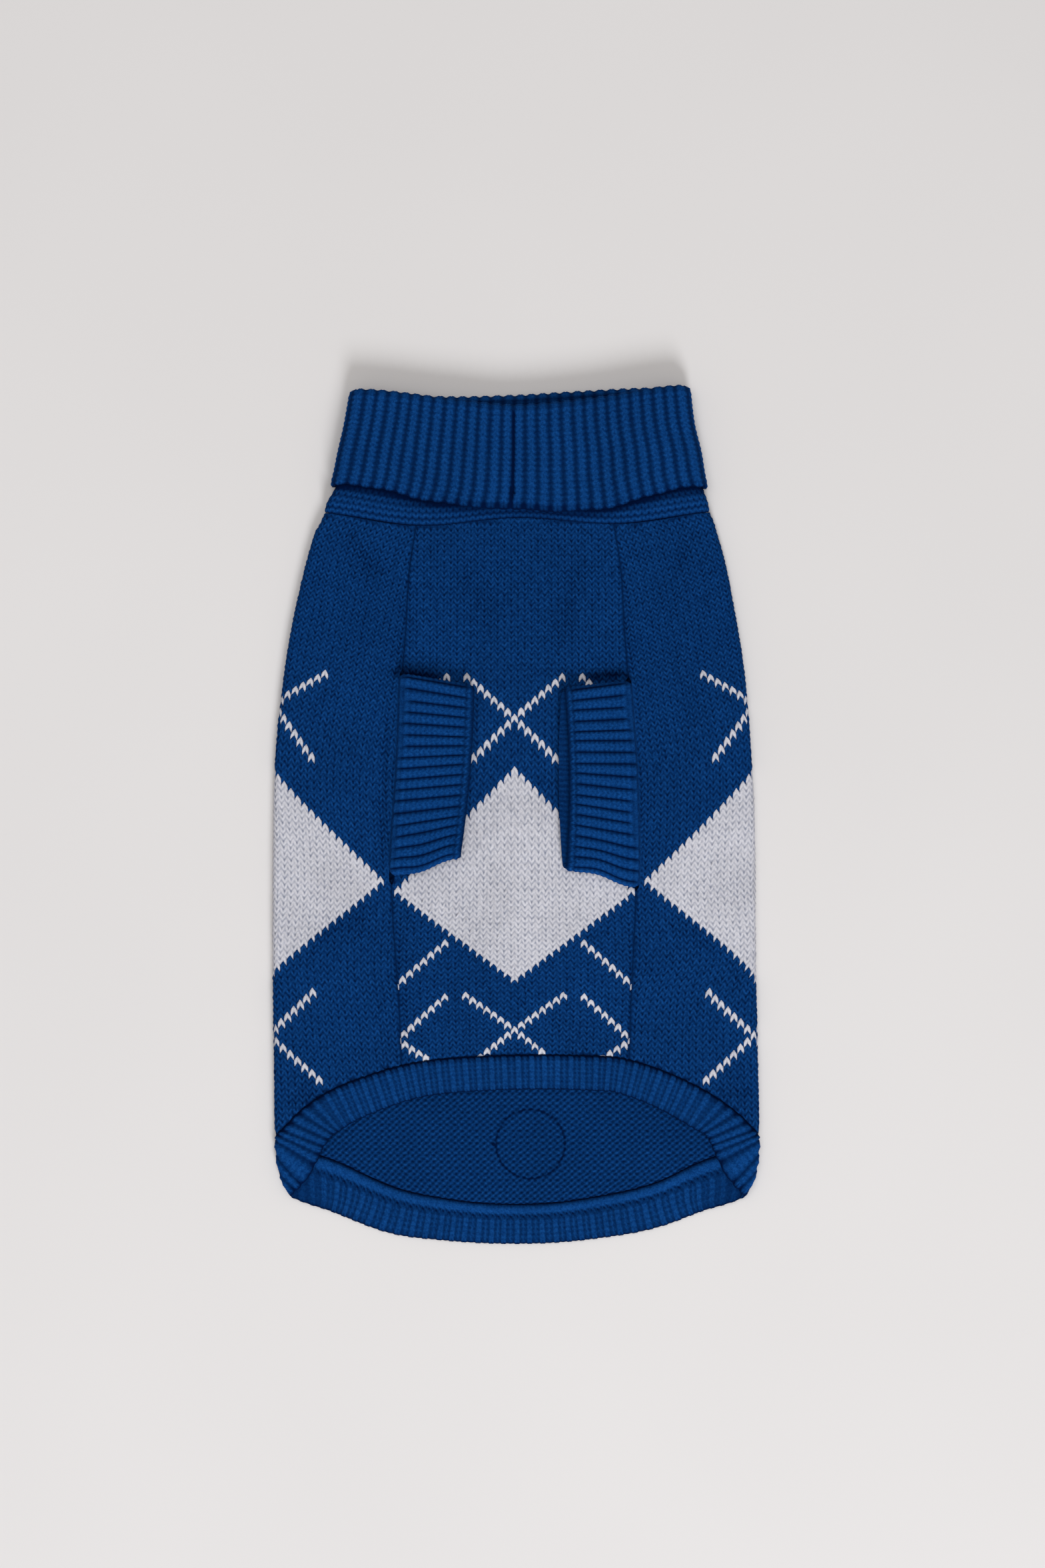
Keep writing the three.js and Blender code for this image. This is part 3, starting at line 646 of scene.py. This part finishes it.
# Rows from the free edge: how far it is drawn in, the more in the middle, and how much rib is left.
freeEdge = dict(
    edge=[-1.5, -0.45, -0.1], middleEdge=[0.4, 0.8, 0.5, 0.2], ribs=[0.3, 0.5, 0.65, 0.8, 0.9],
    middle=0.35, middleReach=1.3, sideShare=0.4, scallop=0.5, waveReach=0.8, tip=0.25, shade=0.3)
collarSeam = dict(place=-0.034, width=0.008, depth=0.42, holeDown=0.82, holeReach=0.05, holeWidth=1.5,
                  holeDepth=1.1)


def collarPoint(place, y, outward):
    left = read(standOutline, "y", "left", y)
    right = read(standOutline, "y", "right", y)
    flat = (right - left) / 2 - cloth["foldRadius"]
    across, side, turn = around(place)
    up = ease((y - readRound(neckSeam, "y", place)) / collar["riseLength"])
    rise = (cloth["ribWall"] + collar["gap"]) * up
    radius = cloth["foldRadius"] + outward
    return np.stack([(left + right) / 2 + across * flat + side * radius * np.sin(turn), y,
                     rise + cloth["foldRadius"] + radius * np.cos(turn)], -1)


def standRow(row, place, neck, foldY, free, relief, shares):
    raised, lean, between = relief
    upward = np.cos(around(place)[2])
    rows = collar["standRows"]
    lean = acrossWale(2 * shares, "lean") if row < neckBand["rows"] else lean
    t = (row + lean * (0 < row < rows)) / rows
    y = mix(neck, foldY, t)
    columns = ("between", "shadeBetween") if row % 2 == 0 else ("onRow", "shadeOnRow")
    knit, shade = (acrossWale(2 * shares, column) for column in columns)
    inside = (raised - standInside["sink"]) * ease((t - standInside["start"]) / standInside["reach"])
    inside = inside * limit(0.5 - upward * 0.5) * standInside["strength"] - standInside["sink"]
    inside = inside + between * (row % 2 == 0) * standInside["strength"]
    inside = np.minimum(inside, standInside["most"])
    band = rowValue(neckBand["firstHeights"], row, neckBand["height"] + knit)
    band = band * limit((free + neckBand["under"] - y) / neckBand["under"])
    band = np.minimum(band * limit(upward + neckBand["sideTurn"]), neckBand["most"])
    shade = shade * rowValue(neckBand["firstShades"], row, neckBand["shade"])
    # Painted shadow on the band under the turned-down layer's free edge, weaker in the middle.
    apart = limit(np.abs(place) / neckBand["middle"] - neckBand["middleStart"])
    edgeShadow = bell(np.maximum(free - y, 0), neckBand["shadowWidth"]) * mix(neckBand["middleShadow"], 1.0, apart)
    return (collarPoint(place, y, -cloth["ribWall"] - inside), collarPoint(place, y, band),
            ribShade(inside), shade * (1 - neckBand["darken"] * edgeShadow))


def foldRow(row, place, foldY, relief):
    raised, _, between = relief
    upward = np.cos(around(place)[2])
    angle = row * math.pi / collar["foldRows"]
    outwards = -math.cos(angle)
    rim = np.where(np.abs(place) > 2, collar["rimRibs"], 1.0)
    lift = raised * rim * mix(collar["foldRibs"], 1.0, math.sin(angle / 2)) + between * (row % 2 == 0)
    lift = lift * onTop(outwards * upward)
    gap = collar["gap"] / 2
    reach = gap + cloth["ribWall"] + lift
    return (collarPoint(place, foldY + reach * math.sin(angle), gap + reach * outwards),
            collarPoint(place, foldY + gap * math.sin(angle), gap + gap * outwards),
            ribShade(lift), collar["innerShade"] + 0 * lift)


def turnedRow(row, place, foldY, free, relief):
    raised, lean, between = relief
    upward = np.cos(around(place)[2])
    rows, left = collar["turnedRows"], collar["turnedRows"] - row
    t = (row + lean * (left > 0)) / rows
    scallop = freeEdge["scallop"] * (raised / cloth["ribHeight"] - 1)
    y = mix(foldY, free - scallop + readRound(collarWaves, "edge", place) * limit(upward), t)
    middle = limit(freeEdge["middleReach"] - np.abs(place) / freeEdge["middle"])
    edge = rowValue(freeEdge["edge"], left, 0.0) - middle * rowValue(freeEdge["middleEdge"], left, 0.0)
    lift = (raised + between * (row % 2 == 0)) * onTop(upward)
    lift = lift * mix(1.0, rowValue(freeEdge["ribs"], left, 1.0), np.maximum(middle, freeEdge["sideShare"]))
    fromSeam = (place - collarSeam["place"]) / collarSeam["width"]
    fromHole = (row / rows - collarSeam["holeDown"]) / collarSeam["holeReach"]
    lift = lift - collarSeam["depth"] * bell(fromSeam, 1)
    lift = lift - collarSeam["holeDepth"] * bell(fromSeam, collarSeam["holeWidth"]) * math.exp(-fromHole**2)
    front = limit(upward) * ease(t / freeEdge["waveReach"])
    wave = readRound(collarWaves, "lift", place) * front
    tip = freeEdge["tip"] if left == 0 else 0.0
    return (collarPoint(place, y, collar["gap"] + cloth["ribWall"] + lift + edge + wave),
            collarPoint(place, y, collar["gap"] + wave + tip),
            ribShade(lift + edge * freeEdge["shade"]), collar["innerShade"] + 0 * lift)


def makeCollar(material):
    shares = ribShares(collar["ribs"])
    relief = ribRelief(rib, shares, "raised", "lean", "between")
    shiftTop, shiftFree = (unevenRibs(collar["ribs"], collar["uneven"]) for _ in range(2))
    stand, fold, turned = collar["standRows"], collar["foldRows"], collar["turnedRows"]
    topLoss = cloth["ribWall"] + collar["gap"] / 2 + cloth["ribHeight"]
    made = []
    for row in range(stand + fold + turned + 1):
        shift = mix(shiftTop, shiftFree, limit((row - stand - fold) / turned))
        place = placesAround(len(shares), collar["flat"], collar["fold"], shift)
        neck = readRound(neckSeam, "y", place) + seamStart(place)
        free = readRound(collarEdges, "free", place)
        foldY = readRound(collarEdges, "top", place) - topLoss
        if row <= stand:
            made.append(standRow(row, place, neck, foldY, free, relief, shares))
        elif row <= stand + fold:
            made.append(foldRow(row - stand, place, foldY, relief))
        else:
            made.append(turnedRow(row - stand - fold, place, foldY, free, relief))
    return ribTube("collarTube", made, material)


# The hem's rib is stretched flat, where the purl wale shows, and closed up at the side folds.
hemKnit = dict(ribs=86, rows=16, flat=127.4, fold=8.0, uneven=0.08, samples=721, slopeReach=12)
hemRib = dict(
    at=[0.0, 0.125, 0.25, 0.375, 0.5], lean=[-0.3, 0.0, 0.3, 0.1, 0.0],
    stretched=[0.62, 0.8, 0.1, 0.34, 0.46], stretchedBetween=[-0.28, -0.42, -0.1, -0.3, -0.04],
    closed=[0.62, 0.8, 0.5, 0.16, -0.05], closedBetween=[-0.28, -0.4, -0.34, -0.16, -0.08])
# Near the side folds the ribs crowd, fan out and close up, each between these places with a reach at both ends.
hemFolds = dict(crowd=(0.95, 0.12, 2.2, 0.2), crowded=1.0, fan=(0.78, 0.24, 2.16, 0.56), fanned=0.46,
                close=(0.68, 0.3, 2.3, 0.3))
# Rows from the seam: how far the front sinks into it, and the ridge of the seam inside the back.
hemRows = dict(
    sink=[-0.9, -0.3, -0.05], ridge=[-0.9, 0.55, 0.85, 0.7, 0.1, -0.25], ribsInside=[0, 0, 0, 0, 0, 0.35, 0.75],
    beads=0.36, ridgeShade=0.1, sideShare=0.3, backStart=2.06, backReach=0.14)
# Rows from the bound-off edge: its scallops, how thin it gets and how much rib is left.
hemEnd = dict(scallop=0.6, middle=0.45, scallops=[1.0, 0.6], edge=[-0.9, -0.25], ribs=[0.5, 0.85])


def rollUp(length):
    return placeAt(length, hemKnit["flat"], hemKnit["fold"])


def nearFold(place, start, startReach, end, endReach):
    return ease((place - start) / startReach) * ease((end - place) / endReach)


def hemLine():  # the hem's seam unrolled, with one more turn of it before and after
    end = float(lengthAt(3.0, hemKnit["flat"], hemKnit["fold"]))
    u = np.linspace(-end, end, hemKnit["samples"])
    y, band = (readRound(hemSeam, column, rollUp(u)) for column in ("y", "band"))
    middle = np.abs(rollUp((u[1:] + u[:-1]) / 2))
    crowd = 1 + hemFolds["crowded"] * nearFold(middle, *hemFolds["crowd"])
    length = np.concatenate([[0], np.cumsum(np.hypot(np.diff(u), np.diff(y)) * crowd)])
    lengths = np.concatenate([length[:-1] + length[-1] * turn for turn in (-1, 0, 1)])
    along = np.concatenate([u[:-1] + 2 * end * turn for turn in (-1, 0, 1)])
    y, band = np.tile(y[:-1], 3), np.tile(band[:-1], 3)
    return end, length[-1], lambda at: (np.interp(at, lengths, along), np.interp(at, lengths, y),
                                        np.interp(at, lengths, band))


def hemBandRow(row, here, y, wide, square, end, relief, shares):
    raised, lean, between = relief
    rows, left = hemKnit["rows"], hemKnit["rows"] - row
    down = mix(seamStart(rollUp(here)), wide, limit((row + lean * (0 < row < rows)) / rows))
    down = down + hemEnd["scallop"] * (raised - hemEnd["middle"]) * rowValue(hemEnd["scallops"], left, 0.0)
    wrapped = rollUp((here + down * square[0] + end) % (2 * end) - end)
    upward = np.cos(around(wrapped)[2])
    lift = raised * rowValue(hemEnd["ribs"], left, 1.0) + between * (row % 2 == 0)
    lift = lift + rowValue(hemEnd["edge"], left, 0.0)
    outside = (lift + rowValue(hemRows["sink"], row, 0.0)) * onTop(upward)
    onRidge = row < len(hemRows["ridge"])
    beads = hemRows["beads"] * np.cos(4 * math.pi * shares + math.pi * row) * (row > 0 and onRidge)
    inside = lift * rowValue(hemRows["ribsInside"], row, 1.0) + rowValue(hemRows["ridge"], row, 0.0) + beads
    backShare = limit((np.abs(wrapped) - hemRows["backStart"]) / hemRows["backReach"])
    inside = inside * limit(-upward) * mix(hemRows["sideShare"], 1.0, backShare)
    yHere = y + down * square[1]
    return (bodyPoint(wrapped, yHere, -outside), bodyPoint(wrapped, yHere, cloth["ribWall"] + inside),
            ribShade(outside), ribShade(inside + hemRows["ridgeShade"] * onRidge))


def makeHemBand(material):
    end, total, lineAt = hemLine()
    shares = ribShares(hemKnit["ribs"])
    count = len(shares)
    at = total * (np.arange(count) + unevenRibs(hemKnit["ribs"], hemKnit["uneven"]) * rib["steps"]) / count
    here, y, wide = lineAt(at)
    (u0, y0, _), (u1, y1, _) = (lineAt(at + side * hemKnit["slopeReach"]) for side in (-1, 1))
    wrapped = rollUp((here + end) % (2 * end) - end)
    place = np.abs(wrapped)
    fan = hemFolds["fanned"] * nearFold(place, *hemFolds["fan"])
    turn = np.arctan2(y1 - y0, u1 - u0) - np.sign(wrapped) * fan
    square = (np.sin(turn), -np.cos(turn))
    closed = nearFold(place, *hemFolds["close"])
    open1, open2, closed1, closed2, lean = ribRelief(
        hemRib, shares, "stretched", "stretchedBetween", "closed", "closedBetween", "lean")
    relief = (mix(open1, closed1, closed), lean, mix(open2, closed2, closed))
    made = [hemBandRow(row, here, y, wide, square, end, relief, shares) for row in range(hemKnit["rows"] + 1)]
    return ribTube("hemBand", made, material)


sleeve = dict(
    ribs=36, flat=52, fold=9, halfWidth=54, wall=2.2, hollow=0.8, bend=3.6, clearance=0.4, rootRows=2,
    bendRows=5, flatRows=24, uneven=0.17, grooveDepth=0.2, middle=0.4, rootThin=0.5)
sleeveRib = dict(rib, raised=[0.6, 0.8, 0.6, 0.24, -0.1])
sleeveRoll = dict(depth=1.0, waves=2.3, start=0.6, reach=0.4)  # the edge nearer the hem, as it waves
# Beside the root the ribs fade over some rows, unevenly.
sleeveRoot = dict(ribs=0.1, rows=4, ragged=2.2, plainRows=3, shade=0.8)
# Painted shade inside the sleeve, in stripes that stand for its ribs.
sleeveInside = dict(shade=0.45, ribs=0.14)
sleeveCuts = {
    -1: dict(upper=dict(rootY=[75.8, 22, -31.4], cuffX=[-22.2, -24.2, -29.5], cuffY=[68.6, 24, -21.8]),
             lower=dict(rootY=[75.4, 20, -35.2], cuffX=[-22.6, -24.6, -30.0], cuffY=[68.2, 23, -23.4])),
    1: dict(upper=dict(rootY=[71.8, 17, -38.0], cuffX=[26.2, 28.6, 27.2], cuffY=[67.6, 20, -27.2]),
            lower=dict(rootY=[71.4, 16, -38.4], cuffX=[24.6, 23.0, 25.2], cuffY=[67.4, 19.6, -27.6]))}
# Rows from the cuff's edge: how much rib is left, the plain edge that is bound off there, and its painted shade.
sleeveEnd = dict(ribs=[0.45, 0.5, 0.55, 0.75, 0.95], edge=[-0.8, 0.05, 0.2, -0.1, -0.05],
                 shade=[0.5, 0.65, 0.9, 0.8, 0.95], chain=0.34, chainSides=[0, 1, -1], flare=0.4)


def acrossLayer(layer, column, across):
    neck, middle, hem = layer[column]
    return middle + (hem - neck) / 2 * across + ((neck + hem) / 2 - middle) * across**2


def sleevePoint(side, place, root, bend, flat, reach):
    across, edge, turn = around(place)
    inset = 1 - (sleeve["hollow"] / 2 + sleeve["wall"]) / sleeve["halfWidth"]
    under = (1 - np.cos(turn)) / 2
    cuts = sleeveCuts[side]

    def value(column):
        return mix(acrossLayer(cuts["upper"], column, across * inset),
                   acrossLayer(cuts["lower"], column, across * inset), under)

    rootY = value("rootY")
    rootX = seamX(side, rootY)
    inwards = -side
    length = (value("cuffX") - rootX) * inwards
    forward = np.where(bend < 1, sleeve["bend"] * (1 - np.cos(bend * math.pi / 2)),
                       mix(sleeve["bend"], length, flat))
    y = mix(rootY, value("cuffY"), forward / length)
    x = rootX + inwards * forward
    rest = frontHeight(frontPlace(x, y), y)
    flatZ = rest + sleeve["clearance"] + cloth["ribHeight"] + sleeve["wall"] + sleeve["hollow"] / 2
    roll = np.sin(sleeveRoll["waves"] * math.pi * flat + side)
    y = y - sleeveRoll["depth"] * roll * limit((across - sleeveRoll["start"]) / sleeveRoll["reach"])
    angle = bend * math.pi / 2
    reach = reach * mix(sleeve["rootThin"], 1.0, np.sin(angle))
    base = mix(flatZ - sleeve["bend"] * (1 - np.sin(angle)), rest - cloth["bodyWall"], root)
    offset = reach * np.cos(turn)
    return np.stack([x - inwards * offset * np.cos(angle), y - edge * reach * np.sin(turn),
                     base + offset * np.sin(angle)], -1)


def sleeveRows():  # how far a row is through the root, the bend and the flat part
    path = [(1 - i / sleeve["rootRows"], 0.0, 0.0) for i in range(sleeve["rootRows"])]
    path += [(0.0, i / sleeve["bendRows"], 0.0) for i in range(sleeve["bendRows"])]
    return path + [(0.0, 1.0, i / sleeve["flatRows"]) for i in range(sleeve["flatRows"] + 1)]


def makeSleeve(name, side, material):
    shares = ribShares(sleeve["ribs"])
    raised, lean, between = ribRelief(sleeveRib, shares, "raised", "lean", "between")
    raised = raised - sleeve["grooveDepth"] * (shares == 0.5)
    shiftRoot, shiftCuff = (unevenRibs(sleeve["ribs"], sleeve["uneven"]) for _ in range(2))
    ragged = sleeveRoot["ragged"] * unevenRibs(sleeve["ribs"], 1.0)
    chain = sleeveEnd["chain"] * np.cos(4 * math.pi * shares)
    innerShade = sleeveInside["shade"] + sleeveInside["ribs"] * np.cos(4 * math.pi * shares)
    path = sleeveRows()
    bent = sleeve["rootRows"] + sleeve["bendRows"]
    made = []
    for row, (root, bend, flat) in enumerate(path):
        left = len(path) - 1 - row
        place = placesAround(len(shares), sleeve["flat"], sleeve["fold"], mix(shiftRoot, shiftCuff, flat))
        strength = ease((row - bent + sleeveRoot["rows"] + ragged) / sleeveRoot["rows"])
        strength = mix(sleeveRoot["ribs"], 1.0, strength) * rowValue(sleeveEnd["ribs"], left, 1.0)
        edge = rowValue(sleeveEnd["edge"], left, 0.0) + chain * rowValue(sleeveEnd["chainSides"], left, 0)
        onRow = between * (row % 2 == 0) * (row > sleeveRoot["plainRows"])
        height = (raised - sleeve["middle"]) * strength + sleeveEnd["flare"] * (row > 0) + onRow + edge
        flatHere = limit(flat + lean / sleeve["flatRows"] * (bend == 1 and left > 0 and flat > 0))
        reach = sleeve["hollow"] / 2 + sleeve["wall"] + height
        shade = mix(sleeveRoot["shade"] + onRow * sleeveRoot["shade"], ribShade(height), strength)
        made.append((sleevePoint(side, place, root, bend, flatHere, reach),
                     sleevePoint(side, place, root, bend, flatHere, sleeve["hollow"] / 2 + 0 * place),
                     shade * rowValue(sleeveEnd["shade"], left, 1.0), innerShade))
    return ribTube(name, made, material)


def newMaterial(name):
    material = bpy.data.materials.new(name)
    material.use_nodes = True
    tree = material.node_tree
    return material, tree, tree.nodes["Principled BSDF"]


def makeNode(tree, kind, output, sockets, **settings):
    node = tree.nodes.new("ShaderNode" + kind)
    for name, value in settings.items():
        setattr(node, name, value)
    setSockets(tree, node, sockets)
    return node.outputs[output]


def setSockets(tree, node, sockets):  # to a number, a colour, a vector or what comes out of another node
    for name, value in sockets.items():
        socket = node.inputs[name]
        if isinstance(value, bpy.types.NodeSocket):
            tree.links.new(value, socket)
        else:
            socket.default_value = (*value, 1.0) if socket.type == "RGBA" else value


def mathNode(tree, operation, first, second=0.0):
    return makeNode(tree, "Math", 0, {0: first, 1: second}, operation=operation)


def times(tree, first, second):
    return mathNode(tree, "MULTIPLY", first, second)


def mixColours(tree, share, first, second, blend="MIX"):
    return makeNode(tree, "Mix", 2, {0: share, 6: first, 7: second}, data_type="RGBA", blend_type=blend)


def noiseAt(tree, vector, scale, detail, roughness=0.6):
    return makeNode(tree, "TexNoise", "Fac",
                    {"Vector": vector, "Scale": scale, "Detail": detail, "Roughness": roughness})


def remap(tree, value, low, high, toLow=0.0, toHigh=1.0):
    return makeNode(tree, "MapRange", 0, {0: value, 1: low, 2: high, 3: toLow, 4: toHigh})


def bump(tree, height, strength, distance, below=None):
    sockets = {"Height": height, "Strength": strength, "Distance": distance}
    return makeNode(tree, "Bump", "Normal", sockets if below is None else dict(sockets, Normal=below))


# Colours of the yarn: blue and white, each with the darker colour it takes in painted shade and a lighter one.
yarn = dict(blue=(0.0012, 0.0275, 0.135), blueInShade=(0.0002, 0.0055, 0.034), blueLight=(0.0072, 0.076, 0.290),
            white=(0.58, 0.585, 0.645), whiteInShade=(0.21, 0.235, 0.32), whiteLight=(0.72, 0.72, 0.785),
            sheenTint=(0.10, 0.30, 0.80), sheen=0.03, sheenRoughness=0.5, specular=0.01)
# Noise in the yarn: plies to a stitch, the others to a metre, each one's share of the lighter colour, and which
# part of a value's range turns into which range of colour.
fibre = dict(
    plies=(7.0, 13.0, 1.0), pliesShare=0.35, plyBump=0.6, plyDepth=0.0004,
    fibres=2600.0, fibresShare=0.3, fibreBump=0.45, fibreDepth=0.0003, heather=820.0, heatherShare=0.35,
    lighter=(0.41, 0.59), top=(0.1, 0.95), whiteTop=(0.05, 0.75),
    wash=28.0, washRange=(0.3, 0.7, 0.93, 1.07), roughness=(0.3, 0.7, 0.88, 1.0))
# The purl side's slanting beads: their weights, the noise that bends them, their bump, and painted shade between
# them.
purlSide = dict(slant=0.6, counter=0.42, noise=0.8, wander=4.2, bump=1.0, bumpDistance=0.0006, darken=0.66)
# A round outline of stitches inside the back, and a small dark spot on its left, in metres.
ringMark = dict(centre=(0.0079, -0.1775, 0.0026), radius=0.0186, line=(0.0001, 0.0010, 1.0, 0.0),
                spot=(-0.0119, -0.1776, 0.0026), spotFade=(0.0006, 0.0013, 1.8, 0.0), darken=0.38)


def purlPattern(tree, uv):  # slanting rows of beads, the back of the stitches
    split = tree.nodes.new("ShaderNodeSeparateXYZ")
    tree.links.new(uv, split.inputs[0])
    u, v = split.outputs[0], split.outputs[1]
    wander = times(tree, noiseAt(tree, uv, purlSide["noise"], 2.0), purlSide["wander"])
    waves = []
    for operation, weight in (("SUBTRACT", purlSide["slant"]), ("ADD", purlSide["counter"])):
        turn = mathNode(tree, "ADD", times(tree, mathNode(tree, operation, u, v), 2 * math.pi), wander)
        waves.append(times(tree, mathNode(tree, "SINE", turn), weight))
    return remap(tree, mathNode(tree, "ADD", *waves), -1.0, 1.0)


def distanceFrom(tree, place, centre):
    return makeNode(tree, "VectorMath", "Value", {0: place, 1: centre}, operation="DISTANCE")


def ringPattern(tree, place):  # 1 on the outline, more on the spot and 0 beside them
    fromLine = mathNode(tree, "SUBTRACT", distanceFrom(tree, place, ringMark["centre"]), ringMark["radius"])
    line = remap(tree, mathNode(tree, "ABSOLUTE", fromLine), *ringMark["line"])
    spot = remap(tree, distanceFrom(tree, place, ringMark["spot"]), *ringMark["spotFade"])
    return mathNode(tree, "MAXIMUM", line, spot)


def knitMaterial(name, ring=False):
    material, tree, shader = newMaterial(name)
    place = makeNode(tree, "TexCoord", "Object", {})
    uv = makeNode(tree, "UVMap", "UV", {}, uv_map="stitches")
    white, shade, purl = (makeNode(tree, "Attribute", "Fac", {}, attribute_name=each)
                          for each in ("white", "shade", "purl"))
    plies = noiseAt(tree, makeNode(tree, "Mapping", "Vector", {"Vector": uv, "Scale": fibre["plies"]}), 1.0, 3.0)
    fibres = noiseAt(tree, place, fibre["fibres"], 4.0, 0.7)
    heather = noiseAt(tree, place, fibre["heather"], 3.0)
    blotch = mathNode(tree, "ADD", times(tree, fibres, fibre["fibresShare"]),
                      times(tree, heather, fibre["heatherShare"]))
    blotch = mathNode(tree, "ADD", times(tree, plies, fibre["pliesShare"]), blotch)
    lighter = remap(tree, blotch, *fibre["lighter"])
    beads = purlPattern(tree, uv)
    # Painted shade in gaps, hollows and seams and between the purl beads, and the ring's own dark outline, turn
    # the yarn to its colour in shade.
    low = times(tree, times(tree, purl, mathNode(tree, "SUBTRACT", 1.0, beads)), purlSide["darken"])
    if ring:
        mark = times(tree, purl, ringPattern(tree, place))
        low = mathNode(tree, "ADD", low, times(tree, mark, ringMark["darken"]))
    top = remap(tree, mathNode(tree, "SUBTRACT", shade, low), *fibre["top"])
    blue = mixColours(tree, lighter, yarn["blue"], yarn["blueLight"])
    blue = mixColours(tree, top, yarn["blueInShade"], blue)
    pale = mixColours(tree, lighter, yarn["white"], yarn["whiteLight"])
    pale = mixColours(tree, remap(tree, shade, *fibre["whiteTop"]), yarn["whiteInShade"], pale)
    colour = mixColours(tree, white, blue, pale)
    wash = remap(tree, noiseAt(tree, place, fibre["wash"], 2.0), *fibre["washRange"])
    tint = makeNode(tree, "CombineColor", 0, {0: wash, 1: wash, 2: wash})
    normal = bump(tree, times(tree, purl, beads), purlSide["bump"], purlSide["bumpDistance"])
    normal = bump(tree, plies, fibre["plyBump"], fibre["plyDepth"], normal)
    normal = bump(tree, fibres, fibre["fibreBump"], fibre["fibreDepth"], normal)
    setSockets(tree, shader, {
        "Base Color": mixColours(tree, 1.0, colour, tint, "MULTIPLY"), "Normal": normal,
        "Roughness": remap(tree, fibres, *fibre["roughness"]), "Specular IOR Level": yarn["specular"],
        "Sheen Weight": yarn["sheen"], "Sheen Roughness": yarn["sheenRoughness"], "Sheen Tint": yarn["sheenTint"]})
    return material


paleFloor = dict(darker=(0.725, 0.714, 0.718), lighter=(0.745, 0.734, 0.738), cloud=3.0, cloudRange=(0.3, 0.7),
                 roughness=0.8, specular=0.2, size=6)


def floorMaterial():
    material, tree, shader = newMaterial("paleFloor")
    place = makeNode(tree, "TexCoord", "Object", {})
    cloud = remap(tree, noiseAt(tree, place, paleFloor["cloud"], 2.0), *paleFloor["cloudRange"])
    colour = mixColours(tree, cloud, paleFloor["darker"], paleFloor["lighter"])
    setSockets(tree, shader, {"Base Color": colour, "Roughness": paleFloor["roughness"],
                              "Specular IOR Level": paleFloor["specular"]})
    return material


view = dict(nadir=(0.0036, 0.01656), height=1.575, lens=66.97, sensor=36, clip=(0.05, 20))
camera = bpy.data.objects.new("camera", bpy.data.cameras.new("camera"))
camera.data.lens = view["lens"]
camera.data.sensor_width = view["sensor"]
camera.data.clip_start, camera.data.clip_end = view["clip"]
camera.location = (*view["nadir"], view["height"])
scene.collection.objects.link(camera)
scene.camera = camera

bpy.ops.object.select_all(action="DESELECT")
bpy.ops.mesh.primitive_grid_add(x_subdivisions=8, y_subdivisions=8, size=paleFloor["size"], location=(0, 0, 0))
floor = bpy.context.object
floor.name = "floor"
floor.data.materials.append(floorMaterial())


def areaLight(name, place, size, power, colour):  # turned to the middle of the floor
    light = bpy.data.lights.new(name, "AREA")
    light.shape = "DISK"
    light.size, light.energy, light.color = size, power, colour
    lamp = bpy.data.objects.new(name, light)
    lamp.location = place
    lamp.rotation_euler = (Vector((0, 0, 0)) - Vector(place)).to_track_quat("-Z", "Y").to_euler()
    scene.collection.objects.link(lamp)


areaLight("windowLight", (0.8, -3.4, 2.2), 1.6, 128, (0.975, 0.985, 1.0))
areaLight("overheadLight", (-0.4, 0.5, 2.6), 2.6, 22, (1.0, 0.98, 0.965))
room = dict(colour=(1.0, 0.965, 0.93, 1), strength=0.4)
world = bpy.data.worlds.new("room")
world.use_nodes = True
world.node_tree.nodes["Background"].inputs["Color"].default_value = room["colour"]
world.node_tree.nodes["Background"].inputs["Strength"].default_value = room["strength"]
scene.world = world
scene.view_settings.view_transform = "Standard"
print("camera, floor and light are ready")

panelYarn = knitMaterial("argyleKnit", ring=True)
ribYarn = knitMaterial("ribKnit")

bellyPanel = makeBellyPanel(panelYarn)
backPanel = makeBackPanel(panelYarn)
print("body panels are knitted")
collarTube = makeCollar(ribYarn)
hemBand = makeHemBand(ribYarn)
sleeveLeft = makeSleeve("sleeveLeft", -1, ribYarn)
sleeveRight = makeSleeve("sleeveRight", 1, ribYarn)
print("collar, hem band and sleeves are knitted")

# Each piece, its node and slot, the cloth that it was cut from as width, length and area, and how it lies.
cuts = [
    (backPanel, "back_panel", "knit", (0.400, 0.376), 0.129, "laid", ["floor"]),
    (bellyPanel, "belly_panel", "knit", (0.134, 0.292), 0.0349, "laid", ["back_panel"]),
    (collarTube, "collar", "rib", (0.412, 0.130), 0.0482, "folded", ["floor"]),
    (hemBand, "hem_band", "rib", (0.545, 0.029), 0.0134, "laid", ["floor"]),
    (sleeveLeft, "sleeve_left", "rib", (0.222, 0.047), 0.0098, "laid", ["belly_panel"]),
    (sleeveRight, "sleeve_right", "rib", (0.222, 0.047), 0.0098, "laid", ["belly_panel"])]
for piece, node, slot, flatSize, flatArea, held, restsOn in cuts:
    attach(piece, "root")
    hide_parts(node)
